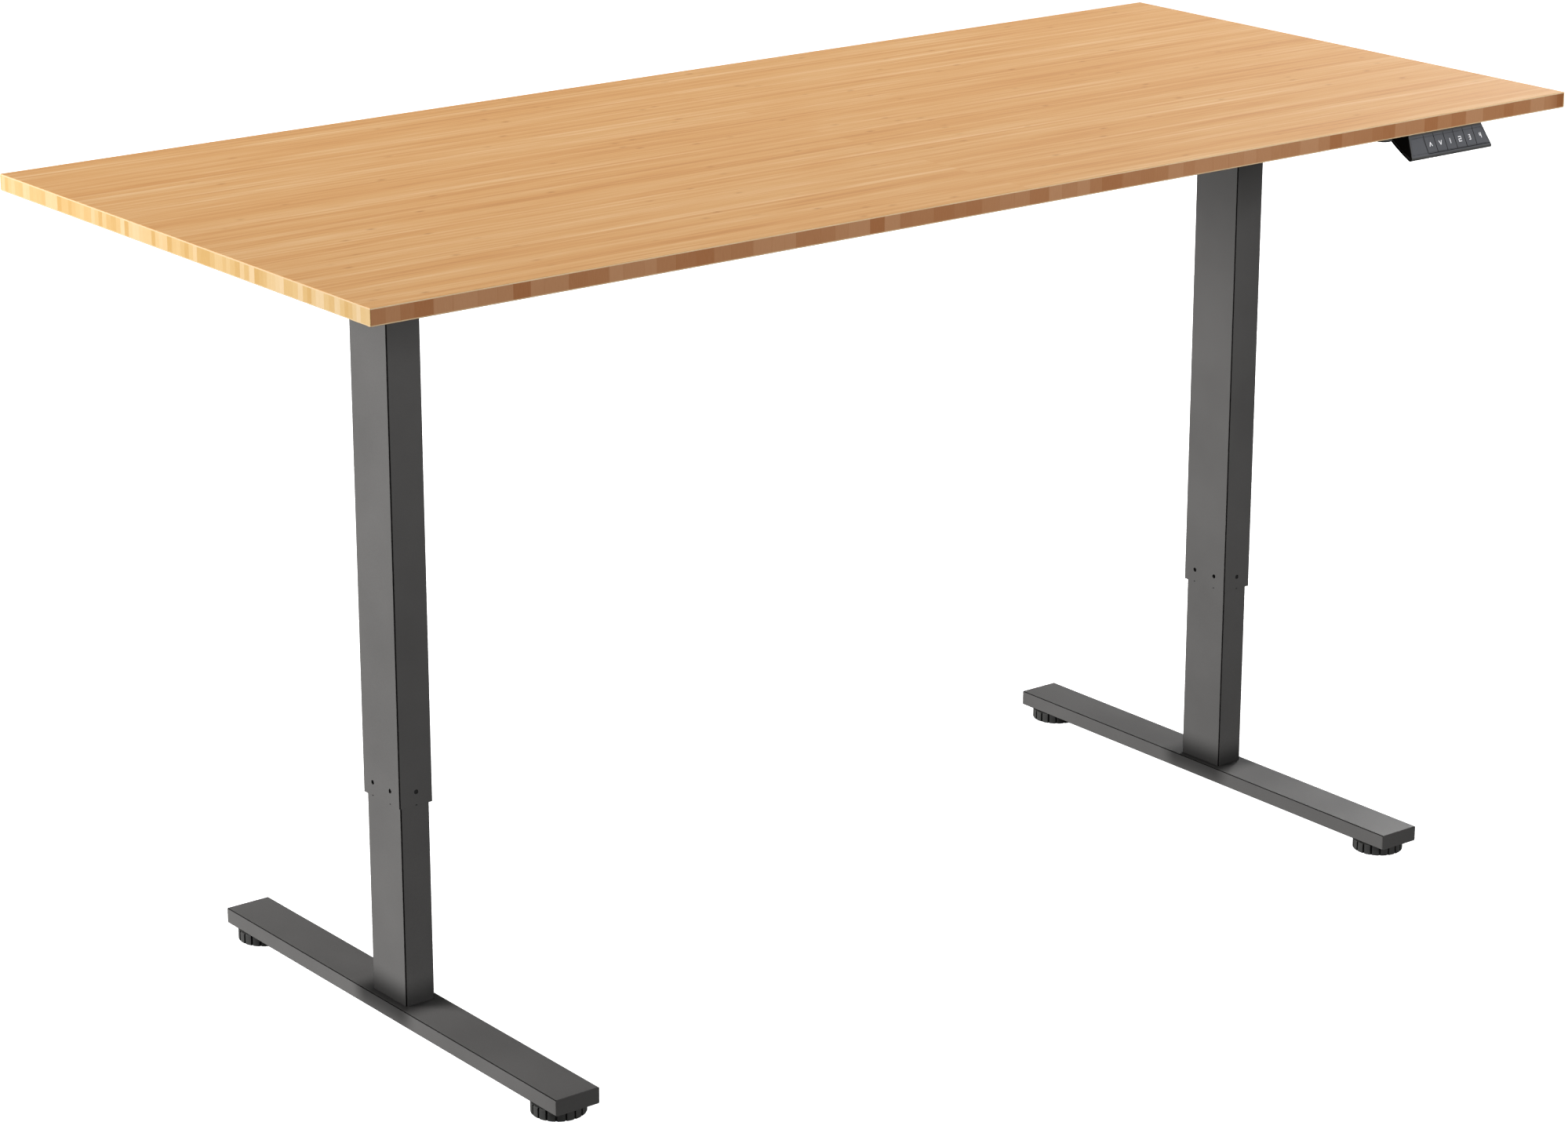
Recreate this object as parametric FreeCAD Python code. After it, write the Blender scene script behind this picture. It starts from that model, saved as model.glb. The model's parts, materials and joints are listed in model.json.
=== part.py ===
"""Height adjustable standing desk: a bamboo top on two motor-driven telescopic columns.

Millimetres, +Z up, +X along the desk to the user's right, +Y towards the back.
The origin is on the floor, under the middle of the whole desk. The desk is drawn
at the height of the stored pose, with the feet screwed fully in.
"""
import FreeCAD, Part
import math
import os

from FreeCAD import Vector

# ---- driving dimensions -----------------------------------------------------
TOP_LENGTH = 1800.0            # desktop, along X
TOP_DEPTH = 800.0              # desktop, along Y
TOP_THICKNESS = 20.0
TOP_HEIGHT = 985.0             # top surface above the floor in the stored pose
EDGE_EASING = 1.0              # radius along the desktop's edges
COLUMN_SPACING = 1316.0        # centre to centre of the two columns
COLUMN_SETBACK = 44.0          # columns stand this far in front of the desktop's middle
HANDSET_REACH = 10.5           # handset stands this far in front of the desktop

LIFT_TRAVEL = 235.0            # each way from the stored pose

OUTER_TUBE = (46.0, 78.0)      # upper column tube, X by Y
INNER_TUBE = (40.0, 72.0)      # lower column tube, X by Y
TUBE_WALL = 1.5
OUTER_TUBE_BOTTOM = TOP_HEIGHT - 700.0
TUBE_CORNER = 2.0

FOOT_WIDTH = 60.0
FOOT_HEIGHT = 20.0
FOOT_LENGTH = 716.0
FOOT_WALL = 2.0
GLIDE_HEIGHT = 14.0            # underside of the foot above the floor
GLIDE_RADIUS = 32.5
GLIDE_OFFSET = 320.0           # glides from the middle of the foot, along Y

ARM_LENGTH = 574.0             # arms under the desktop, along Y
ARM_WIDTH = 40.0
ARM_HEIGHT = 30.0
ARM_TIP_HEIGHT = 12.0          # the arm's underside rises towards its two tips
ARM_TAPER = 110.0              # length of each rising end
ARM_WALL = 2.0

RAIL_WIDTH = 20.0              # cross rails, Y by Z
RAIL_HEIGHT = 34.0
RAIL_WALL = 1.5
RAIL_OFFSET = 59.0             # rail centres from the column centre, along Y

WHEEL_TEETH = 30               # worm wheel on the lead screw
GEAR_MODULE = 1.0
WORM_STARTS = 2
WORM_PITCH_RADIUS = 5.0

RUNNING_CLEARANCE = 0.05       # radial, shaft in bore
SLIDING_CLEARANCE = 0.1        # pad against tube

# ---- levels and places that follow from them --------------------------------
DESK_Y = HANDSET_REACH / 2     # middle of the desktop; the origin is the whole desk's middle
COLUMN_Y = DESK_Y - COLUMN_SETBACK
COLUMN_X = COLUMN_SPACING / 2
UNDERSIDE = TOP_HEIGHT - TOP_THICKNESS
ARM_BOTTOM = UNDERSIDE - ARM_HEIGHT
HEAD_PLATE = 3.0
HEAD_BOTTOM = ARM_BOTTOM - 43.0
HEAD_FLOOR = HEAD_BOTTOM + HEAD_PLATE
FOOT_TOP = GLIDE_HEIGHT + FOOT_HEIGHT
INNER_TUBE_TOP = HEAD_BOTTOM - LIFT_TRAVEL - 12.0
WORM_Z = HEAD_FLOOR + 16.0
WHEEL_PITCH_RADIUS = GEAR_MODULE * WHEEL_TEETH / 2
WORM_OFFSET = WHEEL_PITCH_RADIUS + WORM_PITCH_RADIUS

SIDES = {"left": -1, "right": 1}
UP = Vector(0, 0, 1)

nodes = {}


# ---- shape helpers ----------------------------------------------------------
def box(x0, x1, y0, y1, z0, z1):
    """Box between two corners, given in any order."""
    low = Vector(min(x0, x1), min(y0, y1), min(z0, z1))
    return Part.makeBox(abs(x1 - x0), abs(y1 - y0), abs(z1 - z0), low)


def cylinder(radius, z0, z1, x=0.0, y=0.0):
    """Upright cylinder from z0 to z1."""
    return Part.makeCylinder(radius, z1 - z0, Vector(x, y, z0), UP)


def rod(radius, start, end):
    """Cylinder between two points."""
    start = Vector(*start)
    end = Vector(*end)
    return Part.makeCylinder(radius, (end - start).Length, start, end - start)


def rounded_outline(width, depth, corner):
    """Closed wire in XY round the origin: a rectangle with round corners."""
    half_x = width / 2 - corner
    half_y = depth / 2 - corner
    centres = [(half_x, half_y), (-half_x, half_y), (-half_x, -half_y), (half_x, -half_y)]
    edges = []
    points = []
    for index, (cx, cy) in enumerate(centres):
        start = index * math.pi / 2
        on_arc = []
        for part in (0, 0.5, 1):
            angle = start + part * math.pi / 2
            on_arc.append(Vector(cx + corner * math.cos(angle), cy + corner * math.sin(angle), 0))
        edges.append(Part.Arc(*on_arc).toShape())
        points.append((on_arc[0], on_arc[2]))
    for index in range(4):
        end_of_this = points[index][1]
        start_of_next = points[(index + 1) % 4][0]
        edges.append(Part.LineSegment(end_of_this, start_of_next).toShape())
    return Part.Wire(Part.__sortEdges__(edges))


def bar(width, depth, corner, z0, z1):
    """Upright bar with round corners, standing on the Z axis."""
    face = Part.Face(rounded_outline(width, depth, corner))
    solid = face.extrude(Vector(0, 0, z1 - z0))
    solid.translate(Vector(0, 0, z0))
    return solid


def tube(width, depth, corner, wall, z0, z1):
    """Upright rectangular tube."""
    inside_corner = max(corner - wall, 0.5)
    inside = bar(width - 2 * wall, depth - 2 * wall, inside_corner, z0 - 1, z1 + 1)
    return bar(width, depth, corner, z0, z1).cut(inside)


def lay_along_y(shape, length):
    """Turn an upright bar, drawn from z = 0, to lie along Y with its middle at the origin."""
    shape.rotate(Vector(0, 0, 0), Vector(1, 0, 0), -90)
    shape.translate(Vector(0, -length / 2, 0))
    return shape


def lay_along_x(shape):
    """Turn an upright bar, drawn from z = 0, to lie along +X from the origin."""
    shape.rotate(Vector(0, 0, 0), Vector(0, 1, 0), 90)
    return shape


def prism(points, direction):
    """Solid swept from a closed outline of straight runs."""
    corners = [Vector(*point) for point in points]
    face = Part.Face(Part.makePolygon(corners + [corners[0]]))
    return face.extrude(Vector(*direction))


def moved(shape, x=0.0, y=0.0, z=0.0):
    shape.translate(Vector(x, y, z))
    return shape


def fused(shapes):
    return shapes[0].multiFuse(shapes[1:]).removeSplitter()


def drive_side(shape, side):
    """Place a part of the drive, drawn round the Z axis with the motor towards -X.

    Both drives are the same unit; the left one is turned half round.
    """
    if side == "left":
        shape.rotate(Vector(0, 0, 0), UP, 180)
    return moved(shape, SIDES[side] * COLUMN_X, COLUMN_Y)


def pan_screw(radius, head_radius, head_height, length):
    """Screw standing on its head, the head's seat at z = 0 and the point upwards."""
    head = cylinder(head_radius, -head_height, 0)
    crown = [edge for edge in head.Edges if edge.BoundBox.ZMax < -head_height / 2]
    head = head.makeFillet(head_height * 0.45, crown)
    return head.fuse(cylinder(radius, 0, length))


# ---- desktop ----------------------------------------------------------------
WOOD_SCREW = {"radius": 2.25, "head_radius": 4.5, "head_height": 2.6}
ARM_SCREW_PLACES = (-255.0, -110.0, 110.0, 255.0)


def desktop_screw_places():
    """Seat of each wood screw that goes up into the desktop, with its length."""
    places = []
    for sign in SIDES.values():
        for along in ARM_SCREW_PLACES:
            places.append((sign * COLUMN_X, COLUMN_Y + along, UNDERSIDE - ARM_WALL, 16.0))
    for x, y in control_box_ears():
        places.append((x, y, UNDERSIDE - CONTROL_EAR, 15.0))
    for x in handset_ears():
        places.append((x, HANDSET_EAR_Y, UNDERSIDE - HANDSET_EAR, 15.0))
    side_ear_seat = UNDERSIDE - SIDE_EAR_HEIGHT + SIDE_EAR_COUNTERBORE
    places.append((HANDSET_X + SIDE_EAR_X, FRONT_EDGE + SIDE_EAR_Y, side_ear_seat, 15.0))
    return places


def make_desktop():
    half_length = TOP_LENGTH / 2
    top = box(-half_length, half_length, DESK_Y - TOP_DEPTH / 2, DESK_Y + TOP_DEPTH / 2,
              UNDERSIDE, TOP_HEIGHT)
    top = top.makeFillet(EDGE_EASING, top.Edges)
    screws = []
    for x, y, seat, length in desktop_screw_places():
        top = top.cut(cylinder(WOOD_SCREW["radius"], seat, seat + length, x, y))
        screws.append(moved(pan_screw(length=length, **WOOD_SCREW), x, y, seat))
    nodes["desktop"] = top
    nodes["desktop_screws"] = Part.makeCompound(screws)


# ---- frame under the desktop ------------------------------------------------
ARM_CORNER = 12.0              # the arm's round corners, seen from above
FRAME_SCREW = {"radius": 3.0, "head_radius": 5.25, "head_height": 3.3}
CHEEK_OUTER = RAIL_OFFSET + RAIL_WIDTH / 2 + HEAD_PLATE
HEAD_HALF_LENGTH = 48.0
HEAD_FLANGE = 24.0             # flange outside each cheek, under the arm
FLANGE_HOLES = (13.0, CHEEK_OUTER + 13.0)
CHEEK_HOLES = (-28.0, 28.0)
MOTOR_NOTCH_X = -32.5          # the floor is cut away inboard of here, under the motor
MOTOR_NOTCH_Y = 46.0
RAIL_Z = HEAD_FLOOR + 1.0 + RAIL_HEIGHT / 2
OUTER_RAIL_REACH = 300.0       # the outer rails end this far right of the middle
INNER_RAIL_START = -120.0      # the inner rails begin this far left of the middle
TELESCOPE_GAP = 0.2
LOCK_SCREW_PLACES = (60.0, 240.0)


def arm_body(inset):
    """The arm's outside, or its hollow when inset by the wall."""
    body = bar(ARM_WIDTH - 2 * inset, ARM_LENGTH - 2 * inset, ARM_CORNER - inset,
               ARM_BOTTOM + inset, UNDERSIDE - inset)
    rise = (ARM_HEIGHT - ARM_TIP_HEIGHT) / ARM_TAPER
    beyond = ARM_TAPER + 10.0
    bottom = ARM_BOTTOM + inset
    for sign in (-1, 1):
        start = sign * (ARM_LENGTH / 2 - ARM_TAPER)
        end = start + sign * beyond
        wedge = prism([(-ARM_WIDTH, start, bottom), (-ARM_WIDTH, end, bottom + rise * beyond),
                       (-ARM_WIDTH, end, bottom - 5), (-ARM_WIDTH, start, bottom - 5)],
                      (2 * ARM_WIDTH, 0, 0))
        body = body.cut(wedge)
    return body


def make_arm(side):
    """Closed arm with a slot along its underside, for reaching the screws."""
    slot = bar(14.0, ARM_LENGTH - 40.0, 6.5, ARM_BOTTOM - 1, UNDERSIDE - ARM_WALL - 1)
    arm = arm_body(0).cut(arm_body(ARM_WALL)).cut(slot)
    for along in ARM_SCREW_PLACES:
        arm = arm.cut(cylinder(2.5, UNDERSIDE - ARM_WALL - 1, UNDERSIDE + 1, 0, along))
    for x in (-FLANGE_HOLES[0], FLANGE_HOLES[0]):
        for y in (-FLANGE_HOLES[1], FLANGE_HOLES[1]):
            arm = arm.cut(cylinder(FRAME_SCREW["radius"], ARM_BOTTOM - 1, ARM_BOTTOM + 3, x, y))
    nodes["side_arm_" + side] = moved(arm, SIDES[side] * COLUMN_X, COLUMN_Y)


def make_column_head(side):
    """Pressed-steel saddle: floor on the column, cheeks for the rails, flanges for the arm."""
    parts = [box(-HEAD_HALF_LENGTH, HEAD_HALF_LENGTH, -CHEEK_OUTER, CHEEK_OUTER,
                 HEAD_BOTTOM, HEAD_FLOOR)]
    for sign in (-1, 1):
        cheek_outer = sign * CHEEK_OUTER
        parts.append(box(-HEAD_HALF_LENGTH, HEAD_HALF_LENGTH, cheek_outer,
                         cheek_outer - sign * HEAD_PLATE, HEAD_BOTTOM, ARM_BOTTOM))
        parts.append(box(-22, 22, cheek_outer, cheek_outer + sign * HEAD_FLANGE,
                         ARM_BOTTOM - HEAD_PLATE, ARM_BOTTOM))
    head = fused(parts)
    bends = [edge for edge in head.Edges
             if abs(edge.BoundBox.ZMax - HEAD_BOTTOM) < 0.01 and edge.BoundBox.YLength < 0.01]
    head = head.makeFillet(2.5, bends)
    head = head.cut(cylinder(15.0, HEAD_BOTTOM - 1, HEAD_FLOOR + 1))
    motor_notch = box(-HEAD_HALF_LENGTH - 1, MOTOR_NOTCH_X, -MOTOR_NOTCH_Y, MOTOR_NOTCH_Y,
                      HEAD_BOTTOM - 1, HEAD_FLOOR + 1)
    head = head.cut(motor_notch)
    for x in (-FLANGE_HOLES[0], FLANGE_HOLES[0]):
        for y in (-FLANGE_HOLES[1], FLANGE_HOLES[1]):
            head = head.cut(cylinder(FRAME_SCREW["radius"] + 0.3, ARM_BOTTOM - 4, ARM_BOTTOM + 1,
                                     x, y))
    for x in CHEEK_HOLES:
        head = head.cut(rod(FRAME_SCREW["radius"] + 0.3, (x, -100, RAIL_Z), (x, 100, RAIL_Z)))
    nodes["column_head_" + side] = drive_side(head, side)


def rail_tube(width, height, start, end):
    """Rectangular tube along X, its section Y by Z."""
    length = end - start
    shape = tube(height, width, 2.0, RAIL_WALL, 0, length)
    return moved(lay_along_x(shape), start)


def make_rails():
    """Two telescopic rails, set to the desktop's length once and locked with screws."""
    bore = FRAME_SCREW["radius"]
    left_end = -COLUMN_X - HEAD_HALF_LENGTH + 4.0
    right_end = -left_end
    inner_width = RAIL_WIDTH - 2 * RAIL_WALL - 2 * TELESCOPE_GAP
    inner_height = RAIL_HEIGHT - 2 * RAIL_WALL - 2 * TELESCOPE_GAP
    lock_screws = []
    for name, sign in (("front", -1), ("rear", 1)):
        y = COLUMN_Y + sign * RAIL_OFFSET
        outer = moved(rail_tube(RAIL_WIDTH, RAIL_HEIGHT, left_end, OUTER_RAIL_REACH), 0, y, RAIL_Z)
        inner = rail_tube(inner_width, inner_height, INNER_RAIL_START, right_end)
        pad_gap = (RAIL_WIDTH - inner_width) / 2
        pad = box(right_end - 88, right_end, sign * inner_width / 2,
                  sign * (inner_width / 2 + pad_gap), -12, 12)
        inner = moved(fused([inner, pad]), 0, y, RAIL_Z)
        for x in CHEEK_HOLES:
            wall_side = y + sign * (RAIL_WIDTH / 2 + 1)
            outer = outer.cut(rod(bore, (x - COLUMN_X, y, RAIL_Z),
                                  (x - COLUMN_X, wall_side, RAIL_Z)))
            inner = inner.cut(rod(bore, (x + COLUMN_X, y, RAIL_Z),
                                  (x + COLUMN_X, wall_side, RAIL_Z)))
        rail_bottom = RAIL_Z - RAIL_HEIGHT / 2
        for x in LOCK_SCREW_PLACES:
            outer = outer.cut(cylinder(bore, rail_bottom - 1, rail_bottom + RAIL_WALL + 0.1, x, y))
            shank = cylinder(bore, rail_bottom, rail_bottom + RAIL_WALL + TELESCOPE_GAP, x, y)
            head = moved(hex_head(10.0, 4.0), x, y, rail_bottom - 4.0)
            lock_screws.append(head.fuse(shank))
        nodes[name + "_outer_rail"] = outer
        nodes[name + "_inner_rail"] = inner
    nodes["rail_lock_screws"] = Part.makeCompound(lock_screws)


def hex_head(across_flats, height):
    radius = across_flats / math.sqrt(3)
    points = []
    for index in range(6):
        angle = index * math.pi / 3
        points.append((radius * math.cos(angle), radius * math.sin(angle), 0))
    return prism(points, (0, 0, height))


def make_frame_screws():
    """M6 screws: rails to heads, and heads to arms with nuts inside the arm."""
    screws = []
    for sign in SIDES.values():
        for x in (-FLANGE_HOLES[0], FLANGE_HOLES[0]):
            for y in (-FLANGE_HOLES[1], FLANGE_HOLES[1]):
                place = (sign * COLUMN_X + x, COLUMN_Y + y)
                screw = moved(pan_screw(length=12.0, **FRAME_SCREW), z=ARM_BOTTOM - HEAD_PLATE)
                screws.append(moved(screw, *place))
                nut = hex_head(9.6, 5.0).cut(cylinder(FRAME_SCREW["radius"], -1, 6))
                nut.rotate(Vector(0, 0, 0), UP, 30)
                screws.append(moved(nut, *place, ARM_BOTTOM + ARM_WALL))
        for x in CHEEK_HOLES:
            for front_or_rear in (-1, 1):
                screw = pan_screw(length=9.0, **FRAME_SCREW)
                screw.rotate(Vector(0, 0, 0), Vector(1, 0, 0), front_or_rear * 90)
                screws.append(moved(screw, sign * COLUMN_X + x,
                                    COLUMN_Y + front_or_rear * CHEEK_OUTER, RAIL_Z))
    nodes["frame_screws"] = Part.makeCompound(screws)


# ---- columns ----------------------------------------------------------------
PAD_PEG_HEIGHT = 17.0          # peg holes above the outer tube's lower end
WIDE_FACE_HOLES = (-18.6, 18.6)
PEG_RADIUS = 2.8
PAD_LENGTH = 60.0
NOTCH = (2.4, 1.3)             # pad hook in the tube's lower edge, width and height


def peg_places():
    """Middle of each peg hole round the tube: position and outward direction."""
    half_x = OUTER_TUBE[0] / 2
    half_y = OUTER_TUBE[1] / 2
    places = []
    for sign in (-1, 1):
        for y in WIDE_FACE_HOLES:
            places.append(((sign * half_x, y), (sign, 0)))
        places.append(((0, sign * half_y), (0, sign)))
    return places


def notch_box(place, outward, shrink=0.0):
    half_width = NOTCH[0] / 2 - shrink
    depth_x = outward[0] * TUBE_WALL
    depth_y = outward[1] * TUBE_WALL
    x0, x1 = place[0] - depth_x, place[0]
    y0, y1 = place[1] - depth_y, place[1]
    if outward[0]:
        y0, y1 = place[1] - half_width, place[1] + half_width
    else:
        x0, x1 = place[0] - half_width, place[0] + half_width
    return box(x0, x1, y0, y1, OUTER_TUBE_BOTTOM, OUTER_TUBE_BOTTOM + NOTCH[1])


def make_outer_tube(side):
    shape = tube(*OUTER_TUBE, TUBE_CORNER, TUBE_WALL, OUTER_TUBE_BOTTOM, HEAD_BOTTOM)
    hole_z = OUTER_TUBE_BOTTOM + PAD_PEG_HEIGHT
    for place, outward in peg_places():
        start = (place[0] - 3 * outward[0], place[1] - 3 * outward[1], hole_z)
        end = (place[0] + 3 * outward[0], place[1] + 3 * outward[1], hole_z)
        shape = shape.cut(rod(PEG_RADIUS, start, end))
        shape = shape.cut(notch_box(place, outward))
    nodes["outer_tube_" + side] = moved(shape, SIDES[side] * COLUMN_X, COLUMN_Y)


def make_slider_pads():
    """Plastic pads inside the outer tubes' lower ends, held by pegs and hooks."""
    pads = []
    z0 = OUTER_TUBE_BOTTOM + 0.2
    hole_z = OUTER_TUBE_BOTTOM + PAD_PEG_HEIGHT
    for side_sign in SIDES.values():
        for sign in (-1, 1):
            x_wall = sign * (OUTER_TUBE[0] / 2 - TUBE_WALL)
            x_free = sign * (INNER_TUBE[0] / 2 + SLIDING_CLEARANCE)
            y_wall = sign * (OUTER_TUBE[1] / 2 - TUBE_WALL)
            y_free = sign * (INNER_TUBE[1] / 2 + SLIDING_CLEARANCE)
            wide = box(x_wall, x_free, -30, 30, z0, z0 + PAD_LENGTH)
            narrow = box(-15, 15, y_wall, y_free, z0, z0 + PAD_LENGTH)
            for place, outward in peg_places():
                if outward not in ((sign, 0), (0, sign)):
                    continue
                inner = (place[0] - TUBE_WALL * outward[0], place[1] - TUBE_WALL * outward[1],
                         hole_z)
                outer = (place[0] - 0.6 * outward[0], place[1] - 0.6 * outward[1], hole_z)
                peg = rod(PEG_RADIUS - 0.1, inner, outer)
                hook = notch_box(place, outward, 0.1)
                hook = hook.common(box(-60, 60, -60, 60, z0, z0 + NOTCH[1] - 0.3))
                if outward[0]:
                    wide = fused([wide, peg, hook])
                else:
                    narrow = fused([narrow, peg, hook])
            pads.append(moved(wide, side_sign * COLUMN_X, COLUMN_Y))
            pads.append(moved(narrow, side_sign * COLUMN_X, COLUMN_Y))
    nodes["slider_pads"] = Part.makeCompound(pads)


PLUG_HEIGHT = 12.0             # steel plug welded into the inner tube's lower end
PLUG_HOLES = (11.0, 25.0)
BASE_SCREW_RADIUS = 4.0
NUT_HEIGHT = 33.0
SCREW_RADIUS = 7.0             # lead screw
SHAFT_RADIUS = 5.0


def make_inner_tube(side):
    shape = tube(*INNER_TUBE, TUBE_CORNER, TUBE_WALL, FOOT_TOP, INNER_TUBE_TOP)
    plug = bar(INNER_TUBE[0] - 2 * TUBE_WALL, INNER_TUBE[1] - 2 * TUBE_WALL, 0.5,
               FOOT_TOP, FOOT_TOP + PLUG_HEIGHT)
    shape = fused([shape, plug])
    for x in (-PLUG_HOLES[0], PLUG_HOLES[0]):
        for y in (-PLUG_HOLES[1], PLUG_HOLES[1]):
            shape = shape.cut(cylinder(BASE_SCREW_RADIUS, FOOT_TOP - 1,
                                       FOOT_TOP + PLUG_HEIGHT + 1, x, y))
    nodes["inner_tube_" + side] = moved(shape, SIDES[side] * COLUMN_X, COLUMN_Y)


def make_guide_pads(side):
    """Plastic pads round the inner tube's upper end, sliding in the outer tube."""
    pads = []
    z1 = INNER_TUBE_TOP - 4.0
    z0 = z1 - 40.0
    for sign in (-1, 1):
        x_tube = sign * INNER_TUBE[0] / 2
        x_free = sign * (OUTER_TUBE[0] / 2 - TUBE_WALL - SLIDING_CLEARANCE)
        y_tube = sign * INNER_TUBE[1] / 2
        y_free = sign * (OUTER_TUBE[1] / 2 - TUBE_WALL - SLIDING_CLEARANCE)
        pads.append(box(x_tube, x_free, -28, 28, z0, z1))
        pads.append(box(-14, 14, y_tube, y_free, z0, z1))
    for pad in pads:
        moved(pad, SIDES[side] * COLUMN_X, COLUMN_Y)
    nodes["guide_pads_" + side] = Part.makeCompound(pads)


def make_spindle_nut(side):
    """Plastic nut block filling the inner tube's upper end."""
    gap = 0.2
    block = bar(INNER_TUBE[0] - 2 * TUBE_WALL - gap, INNER_TUBE[1] - 2 * TUBE_WALL - gap, 1.0,
                INNER_TUBE_TOP - NUT_HEIGHT, INNER_TUBE_TOP)
    for y in (-22.0, 22.0):
        block = block.cut(box(-12, 12, y - 8, y + 8, INNER_TUBE_TOP - NUT_HEIGHT - 1,
                              INNER_TUBE_TOP - 5))
    block = block.cut(cylinder(SCREW_RADIUS + RUNNING_CLEARANCE,
                               INNER_TUBE_TOP - NUT_HEIGHT - 1, INNER_TUBE_TOP + 1))
    nodes["spindle_nut_" + side] = moved(block, SIDES[side] * COLUMN_X, COLUMN_Y)


# ---- drive units on the column heads ----------------------------------------
BEARING_RADIUS = 13.0
BEARING_HEIGHT = 8.0
WHEEL_FACE = 6.0
CAVITY = (HEAD_FLOOR + BEARING_HEIGHT, WORM_Z + 8.0)
GEARBOX_TOP = HEAD_FLOOR + 35.0
GEARBOX_X = (-30.0, 26.0)
GEARBOX_Y = (-24.0, 32.0)
SHAFT_TOP = GEARBOX_TOP - 4.0
SPINDLE_BOTTOM = INNER_TUBE_TOP - NUT_HEIGHT - LIFT_TRAVEL - 25.0
MOTOR_RADIUS = 21.0
MOTOR_LENGTH = 78.0
WORM_SHAFT_RADIUS = 3.0
WORM_HALF_LENGTH = 11.0
TOOTH_TIP = 0.7                # tooth thickness at the tip and root of the wheel
TOOTH_ROOT = 1.3
THREAD_TIP = 0.35              # half thickness of the worm thread at its tip and root
THREAD_ROOT = 0.6


def make_spindle(side):
    screw = cylinder(SCREW_RADIUS, SPINDLE_BOTTOM, HEAD_FLOOR)
    shaft = cylinder(SHAFT_RADIUS, HEAD_FLOOR, SHAFT_TOP)
    screw = screw.fuse(shaft)
    tip = [edge for edge in screw.Edges if edge.BoundBox.ZMax < SPINDLE_BOTTOM + 0.01]
    nodes["spindle_" + side] = drive_side(screw.makeChamfer(1.5, tip), side)


def make_worm_wheel(side):
    """Spur teeth stand in for the slightly slanted ones; the play takes up the difference."""
    root_radius = WHEEL_PITCH_RADIUS - 1.25 * GEAR_MODULE
    tip_radius = WHEEL_PITCH_RADIUS + 0.8 * GEAR_MODULE
    z0 = WORM_Z - WHEEL_FACE / 2
    teeth = [cylinder(root_radius, z0, z0 + WHEEL_FACE)]
    for index in range(WHEEL_TEETH):
        outline = [(root_radius - 0.5, -TOOTH_ROOT / 2, z0), (tip_radius, -TOOTH_TIP / 2, z0),
                   (tip_radius, TOOTH_TIP / 2, z0), (root_radius - 0.5, TOOTH_ROOT / 2, z0)]
        tooth = prism(outline, (0, 0, WHEEL_FACE))
        tooth.rotate(Vector(0, 0, 0), UP, 90 + index * 360 / WHEEL_TEETH)
        teeth.append(tooth)
    wheel = fused(teeth)
    hub = cylinder(9.0, CAVITY[0] + 0.3, CAVITY[1] - 0.3)
    wheel = fused([wheel, hub]).cut(cylinder(SHAFT_RADIUS, CAVITY[0], CAVITY[1]))
    nodes["worm_wheel_" + side] = drive_side(wheel, side)


def make_worm(side):
    """Worm and motor shaft in one: right-hand thread of two starts round the X axis."""
    lead = WORM_STARTS * math.pi * GEAR_MODULE
    root_radius = WORM_PITCH_RADIUS - 1.25 * GEAR_MODULE
    tip_radius = WORM_PITCH_RADIUS + 0.8 * GEAR_MODULE
    length = 2 * WORM_HALF_LENGTH
    turns = length / lead
    core = Part.makeCylinder(root_radius, length, Vector(0, 0, 0), UP)
    parts = [core]
    for start in range(WORM_STARTS):
        path = Part.makeHelix(lead, (turns - 1) * lead, root_radius)
        outline = Part.makePolygon([
            Vector(root_radius - 0.3, 0, -THREAD_ROOT), Vector(tip_radius, 0, -THREAD_TIP),
            Vector(tip_radius, 0, THREAD_TIP), Vector(root_radius - 0.3, 0, THREAD_ROOT),
            Vector(root_radius - 0.3, 0, -THREAD_ROOT)])
        thread = Part.Wire(path).makePipeShell([outline], True, True)
        # a tooth of the wheel stands at the middle, so the thread's gap is put there
        thread.translate(Vector(0, 0, lead / 2))
        thread.rotate(Vector(0, 0, 0), UP, start * 360 / WORM_STARTS)
        parts.append(thread)
    worm = parts[0].multiFuse(parts[1:])
    worm.translate(Vector(0, 0, -WORM_HALF_LENGTH))
    # phase of the thread so that, at the wheel, a gap stands on the Y axis
    worm.rotate(Vector(0, 0, 0), UP, worm_phase())
    worm = lay_along_x(worm)
    shaft = rod(WORM_SHAFT_RADIUS, (GEARBOX_X[0] - 40, 0, 0), (WORM_HALF_LENGTH + 8, 0, 0))
    worm = worm.fuse(shaft)
    nodes["worm_" + side] = drive_side(moved(worm, 0, WORM_OFFSET, WORM_Z), side)


def worm_phase():
    """Degrees that turn a thread gap to face the wheel at the middle of the worm."""
    lead = WORM_STARTS * math.pi * GEAR_MODULE
    middle = WORM_HALF_LENGTH - lead / 2
    angle_at_middle = 360 * middle / lead
    half_gap = 360 / (2 * WORM_STARTS)
    # laying the worm along X keeps its Y axis; the wheel lies towards -Y
    return -90 - angle_at_middle + half_gap


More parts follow.
